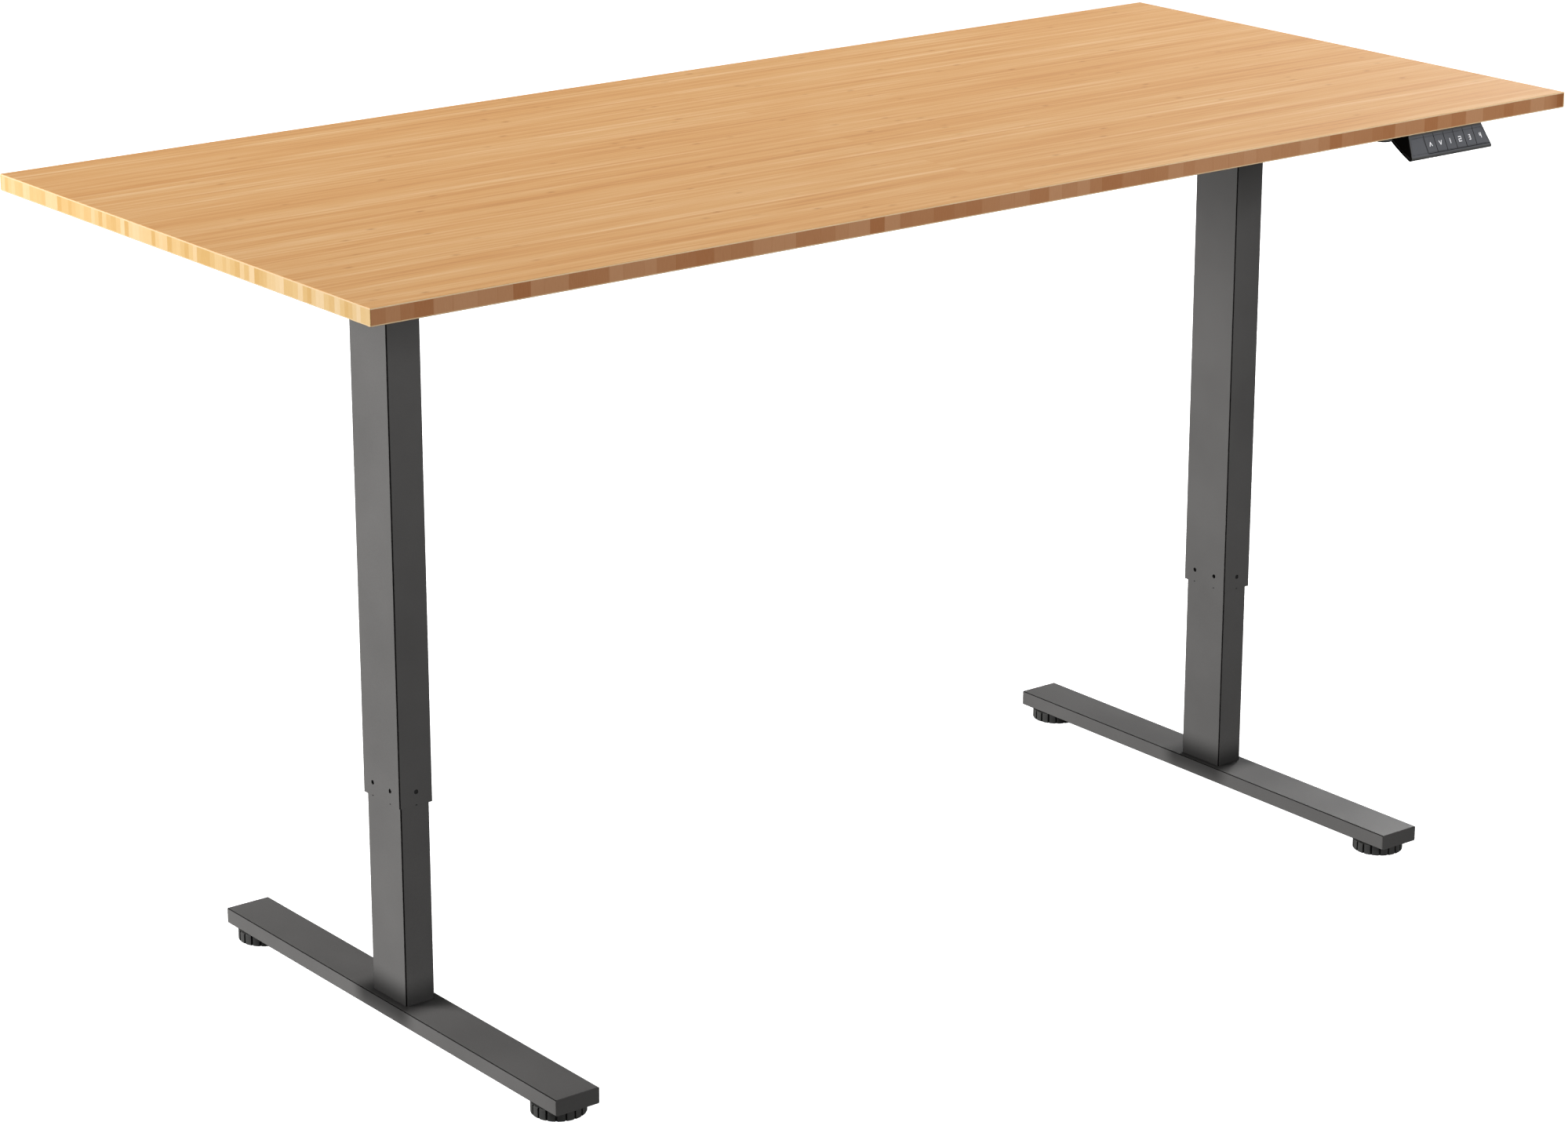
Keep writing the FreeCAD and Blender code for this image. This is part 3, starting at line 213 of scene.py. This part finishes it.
def painted_foot_shade(graph, place):
    """Painted shade that darkens the steel towards the joint between a column and its foot."""
    x, y, z = graph.split(place)
    low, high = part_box("inner_tube_right")
    middle, half = (low + high) / 2, (high - low) / 2
    beside = graph.math("SUBTRACT", graph.math("ABSOLUTE", x), middle.x)
    along_foot = graph.math("SUBTRACT", y, middle.y)
    gaps = []
    for offset, reach in ((beside, half.x), (along_foot, half.y)):
        outside = graph.math("SUBTRACT", graph.math("ABSOLUTE", offset), reach)
        gaps.append(graph.math("MAXIMUM", outside, 0.0))
    gaps.append(graph.math("SUBTRACT", z, low.z))
    total = 0.0
    for gap in gaps:
        total = graph.math("ADD", total, graph.math("MULTIPLY", gap, gap))
    distance = graph.math("SQRT", total)
    return graph.remap(distance, 0.0, FOOT_SHADE_REACH, FOOT_SHADE_TONE, 1.0, smooth=True)


def powder_coat(name, colour, peel=1.0, roughness=0.42, painted_corner_shade=1.0):
    """Powder coat on steel: orange peel, tiny specks, painted shade on rounded corners and
    painted shade at the column joints.
    """
    graph = Graph(name)
    place = graph.place()
    corner = on_corner(graph)
    blotch = graph.noise(place, scale=9.0, detail=3.0)
    speck = graph.noise(place, scale=1400.0, detail=1.0)
    orange_peel = graph.noise(place, scale=700.0)
    shade = graph.spread(blotch, 0.93, 1.07)
    shade = graph.math("MULTIPLY", shade, graph.spread(speck, 0.94, 1.06, reach=0.15))
    # Painted shade: rounded corners are darkened, standing in for the dark reflection they catch.
    shade = graph.math("MULTIPLY", shade, graph.remap(corner, 0.0, 1.0, 1.0, painted_corner_shade))
    # Painted shade near each column's foot.
    shade = graph.math("MULTIPLY", shade, painted_foot_shade(graph, place))
    graph.set(Base_Color=graph.shaded(colour, shade),
              Roughness=graph.spread(blotch, roughness - 0.03, roughness + 0.04))
    # The painted corner shade also takes the corners' specular down, so no highlight shows there.
    if painted_corner_shade < 1.0:
        painted_corner_specular = PLAIN_SPECULAR * painted_corner_shade ** 2
        specular = graph.remap(corner, 0.0, 1.0, PLAIN_SPECULAR, painted_corner_specular)
        graph.set(Specular_IOR_Level=specular)
    height = graph.math("ADD", orange_peel, graph.math("MULTIPLY", speck, 0.5))
    graph.bump(height, distance=0.06 * MM * peel, strength=0.6)
    return graph.material


def moulded_plastic(name, colour, roughness=0.5, grain=900.0, depth=0.04 * MM, painted_glow=0.0):
    """Moulded or printed plastic with a fine grain and a slight haze, and a painted glow where
    one is given.
    """
    graph = Graph(name)
    place = graph.place()
    haze = graph.noise(place, scale=30.0)
    graph.set(Base_Color=graph.shaded(colour, graph.spread(haze, 0.94, 1.06)),
              Roughness=graph.spread(haze, roughness - 0.04, roughness + 0.05),
              Emission_Color=colour, Emission_Strength=painted_glow)
    graph.bump(graph.noise(place, scale=grain, roughness=0.6), depth, strength=0.7)
    return graph.material


def turned_steel(name, colour, roughness=0.3):
    """Bare machined steel with fine tool marks round the part."""
    graph = Graph(name)
    place = graph.place()
    marks = graph.noise(graph.stretch(place, (1.0, 1.0, 18.0)), scale=100.0)
    haze = graph.noise(place, scale=45.0, detail=3.0)
    darker = [part * 0.8 for part in colour[:3]] + [1.0]
    hazy = graph.mix(graph.spread(haze, 0.0, 1.0, reach=0.15), colour, darker)
    graph.set(Base_Color=hazy, Metallic=1.0,
              Roughness=graph.spread(marks, roughness - 0.06, roughness + 0.08))
    graph.bump(marks, distance=0.03 * MM, strength=0.5)
    return graph.material


def circuit_board(name):
    """Green solder mask with faint tracks."""
    graph = Graph(name)
    place = graph.place()
    x, y, _ = graph.split(place)
    across = graph.math("ADD", x, graph.math("MULTIPLY", y, 0.5))
    from_track = graph.math("PINGPONG", across, TRACK_HALF_PITCH)
    on_track = graph.math("LESS_THAN", from_track, TRACK_HALF_WIDTH)
    patches = graph.remap(graph.noise(place, scale=60.0, detail=1.0), 0.48, 0.52)
    track = graph.math("MULTIPLY", on_track, patches)
    graph.set(Base_Color=graph.mix(track, rgb(22, 74, 42), rgb(40, 112, 62)), Roughness=0.35)
    return graph.material


# ---- handset film -----------------------------------------------------------
# Painted shade: dark lines on the film where the gaps round the keys fall into shadow.
KEY_GAP_SHADE_WIDTH = 0.9 * MM           # width of the dark lines round the keys
KEY_GAP_SHADE_COLOUR = rgb(20, 20, 21)


def on_key_gap_shade(graph, coordinate, value):
    gap = graph.math("ABSOLUTE", graph.math("SUBTRACT", coordinate, value))
    return graph.math("LESS_THAN", gap, KEY_GAP_SHADE_WIDTH / 2)


def face_film(name):
    """Matt film over the handset's face, with painted shade as dark lines in the gaps between and
    below the keys.
    """
    graph = Graph(name)
    place = graph.place()
    x, _, z = graph.split(place)
    left_edges = [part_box(key)[0].x for key in KEYS]
    lower_edge = min(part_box(key)[0].z for key in KEYS)
    below_keys = on_key_gap_shade(graph, z, lower_edge)
    lines = graph.math("MULTIPLY", below_keys, graph.math("GREATER_THAN", x, min(left_edges)))
    level_with_keys = graph.math("GREATER_THAN", z, lower_edge)
    for left in left_edges:
        beside_key = graph.math("MULTIPLY", on_key_gap_shade(graph, x, left), level_with_keys)
        lines = graph.math("MAXIMUM", lines, beside_key)
    haze = graph.noise(place, scale=40.0)
    film = graph.mix(haze, rgb(98, 100, 105), rgb(106, 108, 113))
    # The painted shade in the key gaps is mixed into the film's colour.
    graph.set(Base_Color=graph.mix(lines, film, KEY_GAP_SHADE_COLOUR),
              Roughness=graph.spread(haze, 0.36, 0.46))
    grain = graph.noise(place, scale=1500.0, roughness=0.6)
    graph.bump(grain, distance=0.02 * MM, strength=0.6)
    return graph.material


# ---- bamboo board -----------------------------------------------------------
STRIP = 5.6 * MM               # width of the bamboo strips in the faces
BOARD = 22.0 * MM              # strips are pressed in groups about this wide
BOARD_LENGTH = 2.1             # and this long
BOARD_DRIFT = 4.0 * MM         # how far a group's edge wanders along its length
PLY = 1.4 * MM                 # thickness of the two face layers
PLY_BLUR = 0.2 * MM
END_STRIP = 2.2 * MM           # pale strip at the +X end of the long edges
# Painted shade: the long edges darken towards the +X end over this stretch.
EDGE_SHADE_REACH = 30.0 * MM              # darker stretch of the long edges towards that end
BLOCK = 24.0 * MM              # core blocks seen in the long edges
SLAT = 9.0 * MM                # core strips seen in the short edges
BLOCK_JOINT = 0.035            # share of a core strip taken by its dark joint

# Scales of the marks in the faces, per metre along and across the strips.
DRIFT_SCALES = (1.1, 0.0, 0.0)
BAND_SCALES = (1.3, 26.0, 0.0)
STREAK_SCALES = (3.4, 170.0, 0.0)
FIBRE_SCALES = (12.0, 620.0, 0.0)
WOBBLE_SCALES = (90.0, 420.0, 0.0)

FACE_TONES = ((0.1, rgb(196, 142, 90)), (0.38, rgb(208, 157, 103)),
              (0.6, rgb(213, 167, 115)), (0.9, rgb(224, 187, 142)))
DARKEST, LIGHTEST = 0.62, 1.26  # what the marks in the faces add up to
BLOCK_COLOURS = (rgb(186, 122, 76), rgb(200, 142, 98), rgb(212, 158, 116))
SLAT_COLOURS = (rgb(172, 138, 86), rgb(182, 153, 107), rgb(190, 167, 133))
# Colour of the painted shade on the long edges.
EDGE_SHADE_COLOUR = rgb(160, 98, 52)

CANE_NODE_PITCH = 0.36         # distance between growth nodes along a strip
CANE_NODE_SHIFT = 17.0         # sets the nodes of one strip apart from the next strip's
CANE_NODE_WOBBLE = 0.02        # unevenness and edges of a node, in shares of the pitch
CANE_NODE_FULL = 0.008
CANE_NODE_END = 0.035
CANE_NODES_BARE = 0.72         # share of the nodes that don't show
CANE_NODE_COLOUR = rgb(166, 112, 66)


def growth_nodes(graph, place, strip, own_tone):
    """Marks across a strip where the cane had a growth node."""
    x = graph.split(place)[0]
    shift = graph.math("MULTIPLY", own_tone, CANE_NODE_SHIFT)
    along = graph.math("ADD", graph.math("DIVIDE", x, CANE_NODE_PITCH), shift)
    gap = graph.math("ABSOLUTE", graph.math("SUBTRACT", graph.math("FRACT", along), 0.5))
    uneven = graph.grain(place, WOBBLE_SCALES, detail=2.0)
    gap = graph.math("ADD", gap, graph.math("MULTIPLY", uneven, CANE_NODE_WOBBLE))
    mark = graph.remap(gap, CANE_NODE_FULL, CANE_NODE_END, 1.0, 0.0, smooth=True)
    draw = graph.random(strip, graph.math("FLOOR", along), 7.0)
    return graph.math("MULTIPLY", mark, graph.remap(draw, CANE_NODES_BARE, 1.0))


def bamboo_face(graph, place):
    """Colour and marks of the faces: strips along X with streaks and growth nodes."""
    x, y, _ = graph.split(place)
    strip = graph.math("FLOOR", graph.math("DIVIDE", y, STRIP))
    own_tone = graph.random(strip, 3.1, 0.0)
    drift = graph.grain(place, DRIFT_SCALES, detail=1.0)
    drifted = graph.math("ADD", y, graph.math("MULTIPLY", drift, BOARD_DRIFT))
    board = graph.math("FLOOR", graph.math("DIVIDE", drifted, BOARD))
    board_tone = graph.random(board, graph.math("FLOOR", graph.math("DIVIDE", x, BOARD_LENGTH)),
                              5.0)
    bands = graph.grain(place, BAND_SCALES, detail=2.0, roughness=0.6)
    streaks = graph.grain(place, STREAK_SCALES, detail=3.0, roughness=0.65)
    fibres = graph.grain(place, FIBRE_SCALES, detail=3.0, roughness=0.6)
    shares = ((own_tone, 0.14), (board_tone, 0.12), (bands, 0.42), (streaks, 0.8), (fibres, 0.4))
    tone = 0.0
    for part, share in shares:
        tone = graph.math("ADD", tone, graph.math("MULTIPLY", part, share))
    colour = graph.ramp(graph.remap(tone, DARKEST, LIGHTEST), FACE_TONES)
    mark = growth_nodes(graph, place, strip, own_tone)
    colour = graph.mix(graph.math("MULTIPLY", mark, 0.5), colour, CANE_NODE_COLOUR)
    return colour, streaks, fibres, mark


def core_strips(graph, along, across, width, seed, colours):
    """Core strips seen in an edge: uneven widths, each with its own tone and a dark joint."""
    uneven = graph.noise(graph.join(along), scale=14.0, detail=1.0)
    at = graph.math("ADD", graph.math("DIVIDE", along, width),
                    graph.math("MULTIPLY", uneven, 2.2))
    own_tone = graph.random(graph.math("FLOOR", at), seed, 2.0)
    grain_place = graph.join(graph.math("MULTIPLY", along, 700.0),
                             graph.math("MULTIPLY", across, 90.0))
    grain = graph.noise(grain_place, scale=1.0, detail=3.0)
    tone = graph.math("ADD", graph.math("MULTIPLY", own_tone, 0.8),
                      graph.math("MULTIPLY", grain, 0.3))
    dark, middle, light = colours
    colour = graph.ramp(tone, ((0.12, dark), (0.55, middle), (0.98, light)))
    joint = graph.math("LESS_THAN", graph.math("FRACT", at), BLOCK_JOINT)
    return graph.mix(graph.math("MULTIPLY", joint, 0.3), colour, dark)


def bamboo_edge(graph, place, fibres, on_end):
    """Colour of the edges: the core's strips between the two face layers."""
    low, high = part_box("desktop")
    x, y, z = graph.split(place)
    fibre_tone = graph.spread(fibres, 0.0, 1.0)
    side_ply = graph.mix(fibre_tone, rgb(242, 208, 160), rgb(250, 222, 180))
    end_ply = graph.mix(fibre_tone, rgb(188, 163, 128), rgb(196, 173, 138))
    from_end = graph.math("SUBTRACT", high.x, x)
    side = core_strips(graph, x, z, BLOCK, 11.0, BLOCK_COLOURS)
    # Painted shade darkening the long edges towards the +X end.
    side = graph.mix(graph.remap(from_end, 0.0, EDGE_SHADE_REACH, 0.8, 0.0), side, EDGE_SHADE_COLOUR)
    side = graph.mix(graph.math("LESS_THAN", from_end, END_STRIP), side, side_ply)
    end = core_strips(graph, y, z, SLAT, 5.0, SLAT_COLOURS)
    core_edge = (high.z - low.z) / 2 - PLY
    from_middle = graph.math("ABSOLUTE", graph.math("SUBTRACT", z, (low.z + high.z) / 2))
    in_core = graph.remap(from_middle, core_edge - PLY_BLUR, core_edge, 1.0, 0.0)
    return graph.mix(in_core, graph.mix(on_end, side_ply, end_ply), graph.mix(on_end, side, end))


def bamboo(name):
    """Three-layer bamboo board: strips along X in the faces, core strips in the edges."""
    graph = Graph(name)
    place = graph.place()
    nx, ny, _ = graph.split(graph.normal())
    on_end, on_side = [graph.remap(graph.math("ABSOLUTE", part), 0.6, 0.75) for part in (nx, ny)]
    face, streaks, fibres, mark = bamboo_face(graph, place)
    edge = bamboo_edge(graph, place, fibres, on_end)
    graph.set(Base_Color=graph.mix(graph.math("MAXIMUM", on_end, on_side), face, edge),
              Roughness=graph.remap(streaks, 0.2, 0.8, 0.55, 0.68), Specular_IOR_Level=0.15)
    height = graph.math("SUBTRACT", graph.math("MULTIPLY", fibres, 0.5),
                        graph.math("MULTIPLY", mark, 0.4))
    graph.bump(height, distance=0.08 * MM, strength=0.35)
    return graph.material


# ---- pieces -----------------------------------------------------------------
SHARP = math.radians(30)       # edges that turn more than this are rounded
FLAT = math.radians(0.5)       # faces that turn less than this become one
WELD = 0.002 * MM


def dress(material, *names):
    for name in names:
        data = NODES[name].data
        data.materials.clear()
        data.materials.append(material)


def new_piece(name, mesh, node):
    """A piece that moves with a CAD node."""
    piece = bpy.data.objects.new(name, mesh)
    bpy.context.scene.collection.objects.link(piece)
    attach(piece, BODY_OF[node])
    return piece


def finished_mesh(work, name, materials):
    mesh = bpy.data.meshes.new(name)
    work.to_mesh(mesh)
    work.free()
    for material in materials:
        mesh.materials.append(material)
    return mesh


def smooth(mesh):
    """Smooth shading, except over sharp edges."""
    mesh.shade_smooth()
    mesh.set_sharp_from_angle(angle=SHARP)


def refined(node, width, segments=2):
    """A copy of a CAD node with its sharp edges rounded, standing for that node."""
    source = NODES[node]
    work = bmesh.new()
    work.from_mesh(source.data)
    work.transform(source.matrix_world)
    bmesh.ops.remove_doubles(work, verts=work.verts, dist=WELD)
    bmesh.ops.dissolve_limit(work, angle_limit=FLAT, verts=work.verts, edges=work.edges)
    sharp = [edge for edge in work.edges
             if len(edge.link_faces) == 2 and edge.calc_face_angle() > SHARP]
    bmesh.ops.bevel(work, geom=sharp, offset=width, segments=segments, profile=0.5,
                    affect="EDGES", clamp_overlap=True)
    mesh = finished_mesh(work, node + "_refined", source.data.materials)
    smooth(mesh)
    piece = new_piece(node + "_refined", mesh, node)
    weighted = piece.modifiers.new("flat_faces_stay_flat", "WEIGHTED_NORMAL")
    weighted.keep_sharp = True
    weighted.weight = 100
    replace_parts(piece, node)
    return piece


def dress_frame():
    # Steel and end caps carry painted shade on their corners and at the column feet.
    steel = powder_coat("powder_coat_anthracite", rgb(90, 89, 88), painted_corner_shade=0.08)
    dress(steel, *both("side_arm", "column_head", "outer_tube", "inner_tube", "foot"),
          "front_outer_rail", "rear_outer_rail", "front_inner_rail", "rear_inner_rail")
    end_cap = powder_coat("cap_plastic", rgb(79, 78, 77), peel=0.5, roughness=0.45,
                          painted_corner_shade=0.1)
    dress(end_cap, *both("foot_end_caps"))
    dress(powder_coat("cast_zinc", rgb(150, 150, 150), peel=2.0, roughness=0.5),
          *both("gearbox"))
    dress(powder_coat("motor_lacquer", rgb(48, 48, 50), peel=0.5, roughness=0.35),
          *both("motor"))


def dress_fittings():
    dress(moulded_plastic("black_plastic", rgb(40, 40, 40), roughness=0.42),
          "control_box", "control_box_lid", "power_inlet")
    dress(moulded_plastic("pad_acetal", rgb(9, 9, 9), roughness=0.6),
          *both("guide_pads", "spindle_nut"), "slider_pads")
    dress(moulded_plastic("knob_nylon", rgb(66, 66, 65), roughness=0.38, grain=500.0), *KNOBS)
    dress(moulded_plastic("gear_acetal", rgb(226, 220, 202), roughness=0.45),
          *both("worm_wheel"))
    dress(turned_steel("bare_steel", rgb(178, 178, 180)),
          *both("spindle", "worm", "glide_stud_front", "glide_stud_rear"), "spindle_bearings")
    dress(turned_steel("black_oxide", rgb(52, 52, 54), roughness=0.4),
          *both("base_screws"), "desktop_screws", "frame_screws", "rail_lock_screws")
    dress(circuit_board("solder_mask"), "control_board", "handset_board")


def dress_handset():
    dress(moulded_plastic("handset_shell_plastic", rgb(86, 86, 85), roughness=0.42),
          "handset_shell")
    dress(face_film("handset_face_film"), "handset_plate", "display_window", *KEYS)


def refine_frame():
    """Real edges on what is cut, folded or moulded."""
    for node in both("side_arm", "column_head", "gearbox", "motor"):
        refined(node, 0.7 * MM)
    for node in both("foot_end_caps"):
        refined(node, 1.2 * MM, segments=3)
    for node in ("control_box", "control_box_lid"):
        refined(node, 0.6 * MM)
    for node in KNOBS:
        refined(node, 0.4 * MM)


# ---- spindle bearings -------------------------------------------------------
# Half section, once round: distance from the axis and height over the bearing's foot, in
# millimetres. The inner race ends at 8.0, the outer one starts at 10.7, and the seal is sunk.
RACE_SECTION = ((5.08, 0.05), (8.0, 0.05), (8.3, 0.5), (10.4, 0.5), (10.7, 0.05), (12.98, 0.05),
                (12.98, 7.9), (10.7, 7.9), (10.4, 7.4), (8.3, 7.4), (8.0, 7.9), (5.08, 7.9))
RACE_SIDES = 96


def on_circle(reach, step, sides):
    turn = math.tau * step / sides
    return reach * math.cos(turn), reach * math.sin(turn)


def make_bearings():
    """The two spindle bearings with their races and a sunk seal between them."""
    node = "spindle_bearings"
    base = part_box(node)[0].z
    work = bmesh.new()
    for spindle in both("spindle"):
        low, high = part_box(spindle)
        middle = (low + high) / 2
        rings = []
        for step in range(RACE_SIDES):
            ring = []
            for reach, height in RACE_SECTION:
                x, y = on_circle(reach * MM, step, RACE_SIDES)
                ring.append(work.verts.new((middle.x + x, middle.y + y, base + height * MM)))
            rings.append(ring)
        for ring, after in zip(rings, rings[1:] + rings[:1]):
            for index in range(len(ring)):
                above = (index + 1) % len(ring)
                work.faces.new((ring[index], after[index], after[above], ring[above]))
    bmesh.ops.recalc_face_normals(work, faces=work.faces)
    mesh = finished_mesh(work, "bearing_races", NODES[node].data.materials)
    smooth(mesh)
    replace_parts(new_piece("bearing_races", mesh, node), node)


# ---- handset ----------------------------------------------------------------
RECESS_AREA = 40 * MM * MM     # the walls of the handset's hollow ends are larger than this
RECESS_FACING = 0.85           # and face sideways by more than this
SAME_WAY = 0.01                # most that two normals differ by on one flat face

# Strokes of the signs on the keys, in steps of half the sign's width and height.
SIGNS = {
    "key_up": (((-1, -0.8), (0, 0.8)), ((0, 0.8), (1, -0.8))),
    "key_down": (((-1, 0.8), (0, -0.8)), ((0, -0.8), (1, 0.8))),
    "key_memory_1": (((0, -1), (0, 1)),),
    "key_memory_2": (((-1, 1), (1, 1)), ((1, 1), (1, 0)), ((1, 0), (-1, 0)), ((-1, 0), (-1, -1)),
                     ((-1, -1), (1, -1))),
    "key_memory_3": (((-0.5, 1), (0.5, 1)), ((0.5, 1), (0.5, -1)), ((0.5, 0), (-0.5, 0)),
                     ((0.5, -1), (-0.5, -1))),
    "key_memory_4": (((-0.5, 1), (-0.5, 0)), ((-0.5, 0), (0.5, 0)), ((0.5, 1), (0.5, -1))),
}
SIGN_HALF_WIDTH = 2.2 * MM
SIGN_HALF_HEIGHT = 3.0 * MM
SIGN_STROKE = 1.0 * MM
SIGN_LIFT = 0.06 * MM
STROKE_OVERLAP = 0.004 * MM    # each stroke stands this much over the one before
ROUND_END_SIDES = 6
RIGHT = Vector((1, 0, 0))


def paint_recess_shade(piece):
    """The walls of the handset's hollow ends get painted shade: a near black finish, as if they
    lay in shadow.
    """
    mesh = piece.data
    mesh.materials.append(moulded_plastic("handset_recess_painted_shade", rgb(17, 17, 17), roughness=0.6))
    for face in mesh.polygons:
        if face.area > RECESS_AREA and abs(face.normal.x) > RECESS_FACING:
            face.material_index = 1


def refine_handset():
    # Painted shade on the hollow ends of the shell.
    paint_recess_shade(refined("handset_shell", 0.5 * MM))
    refined("handset_plate", 0.25 * MM)
    refined("display_window", 0.25 * MM)
    for node in KEYS:
        refined(node, 0.3 * MM)


def face_axes(node):
    """Centre of a key's outer face, the way up the face and the way out of it."""
    data = NODES[node].data
    front = [face for face in data.polygons if face.normal.y < -0.5]
    out = max(front, key=lambda face: face.area).normal.copy()
    up = RIGHT.cross(out)
    if up.z < 0:
        up = -up
    corners = [data.vertices[index].co for face in data.polygons
               if (face.normal - out).length < SAME_WAY for index in face.vertices]
    centre = Vector([(min(corner[axis] for corner in corners)
                      + max(corner[axis] for corner in corners)) / 2 for axis in range(3)])
    return centre, up, out


def stroke_outline(start, end, out):
    """Points round a stroke with round ends, in the plane of a key's face."""
    along = (end - start).normalized()
    side = along.cross(out)
    points = []
    for middle, heading in ((end, 0.0), (start, math.pi)):
        for step in range(ROUND_END_SIDES + 1):
            turn = heading + math.radians(180 * step / ROUND_END_SIDES - 90)
            reach = along * math.cos(turn) + side * math.sin(turn)
            points.append(middle + reach * (SIGN_STROKE / 2))
    return points


def add_sign(node, material):
    """Thin printed strokes on a key's face."""
    centre, up, out = face_axes(node)
    work = bmesh.new()
    for order, stroke in enumerate(SIGNS[node]):
        start, end = [centre + RIGHT * (x * SIGN_HALF_WIDTH) + up * (y * SIGN_HALF_HEIGHT)
                      for x, y in stroke]
        lift = out * (SIGN_LIFT + order * STROKE_OVERLAP)
        outline = [point + lift for point in stroke_outline(start, end, out)]
        upper = [work.verts.new(point) for point in outline]
        lower = [work.verts.new(point - out * (SIGN_LIFT * 2)) for point in outline]
        work.faces.new(upper[::-1])
        work.faces.new(lower)
        for index in range(len(outline)):
            work.faces.new((upper[index - 1], upper[index], lower[index], lower[index - 1]))
    new_piece(node + "_sign", finished_mesh(work, node + "_sign", [material]), node)


def add_signs():
    # Painted light: the white print glows a little so it reads brighter than its lighting gives.
    white_print_painted_glow = moulded_plastic("white_print_painted_glow", rgb(250, 250, 252), grain=2500.0,
                                  depth=0.01 * MM, painted_glow=0.3)
    for key in KEYS:
        add_sign(key, white_print_painted_glow)


# ---- camera, floor and lights -----------------------------------------------
FOCAL_LENGTH = 97.671          # millimetres on a 36 mm wide frame
FRAME_WIDTH = 36.0
CAMERA_PLACE = Vector((-3.1682, -4.0009, 2.0770))
CAMERA_LOOK = Vector((0.58470, 0.75119, -0.30634))

FLOOR_REACH = 30.0             # the floor is flat this far out
BEND = 10.0                    # radius of its curve up into the wall
BEND_STEPS = 8
WALL_TOP = 60.0
FLOOR_SIDES = 48
FLOOR_GLOW = 0.97

LIGHTS_AIM = Vector((0.0, 0.0, 0.6))
WORLD_STRENGTH = 0.06


def turned_to(direction):
    return direction.to_track_quat("-Z", "Y").to_euler()


def add_camera():
    data = bpy.data.cameras.new("camera")
    data.lens = FOCAL_LENGTH
    data.sensor_width = FRAME_WIDTH
    camera = bpy.data.objects.new("camera", data)
    camera.location = CAMERA_PLACE
    camera.rotation_euler = turned_to(CAMERA_LOOK)
    bpy.context.scene.collection.objects.link(camera)
    bpy.context.scene.camera = camera


def backdrop_profile():
    """Distance from the middle and height, from the floor's edge to the top of the wall."""
    profile = [(FLOOR_REACH, 0.0)]
    for step in range(1, BEND_STEPS + 1):
        turn = math.radians(90 * step / BEND_STEPS)
        profile.append((FLOOR_REACH + BEND * math.sin(turn), BEND - BEND * math.cos(turn)))
    profile.append((FLOOR_REACH + BEND, WALL_TOP))
    return profile


def add_backdrop():
    """A pale floor that curves up into a wall far away on every side."""
    work = bmesh.new()
    rings = []
    for reach, height in backdrop_profile():
        rings.append([work.verts.new((*on_circle(reach, side, FLOOR_SIDES), height))
                      for side in range(FLOOR_SIDES)])
    work.faces.new(rings[0])
    for lower, upper in zip(rings, rings[1:]):
        for side in range(FLOOR_SIDES):
            after = (side + 1) % FLOOR_SIDES
            work.faces.new((lower[after], lower[side], upper[side], upper[after]))
    graph = Graph("pale_floor")
    graph.set(Base_Color=(0.7, 0.7, 0.7, 1.0), Roughness=0.9, Emission_Color=(1, 1, 1, 1),
              Emission_Strength=FLOOR_GLOW)
    mesh = finished_mesh(work, "floor", [graph.material])
    mesh.shade_smooth()
    floor = bpy.data.objects.new("floor", mesh)
    floor.visible_glossy = False
    floor.visible_diffuse = False
    bpy.context.scene.collection.objects.link(floor)


def add_softbox(name, place, size, power, glossy=True):
    data = bpy.data.lights.new(name, "AREA")
    data.shape = "RECTANGLE"
    data.size, data.size_y = size
    data.energy = power
    light = bpy.data.objects.new(name, data)
    light.location = place
    light.visible_glossy = glossy
    light.rotation_euler = turned_to(LIGHTS_AIM - Vector(place))
    bpy.context.scene.collection.objects.link(light)


def add_lights():
    add_softbox("left_back", place=(-4.4, 3.0, 1.5), size=(2.4, 2.4), power=620, glossy=False)
    add_softbox("front", place=(1.6, -5.6, 2.3), size=(2.6, 2.0), power=185)
    add_softbox("right_high", place=(4.6, 1.4, 2.6), size=(2.0, 2.0), power=190)
    add_softbox("overhead", place=(0.1, 0.3, 4.6), size=(4.5, 3.0), power=84)
    world = bpy.data.worlds.new("studio")
    world.use_nodes = True
    background = world.node_tree.nodes["Background"]
    background.inputs["Color"].default_value = (1, 1, 1, 1)
    background.inputs["Strength"].default_value = WORLD_STRENGTH
    bpy.context.scene.world = world
    bpy.context.scene.view_settings.view_transform = "Standard"


# ---- the whole scene --------------------------------------------------------
dress(bamboo("bamboo_board"), "desktop")
dress_frame()
dress_fittings()
dress_handset()
refine_frame()
make_bearings()
refine_handset()
add_signs()
add_camera()
add_backdrop()
add_lights()
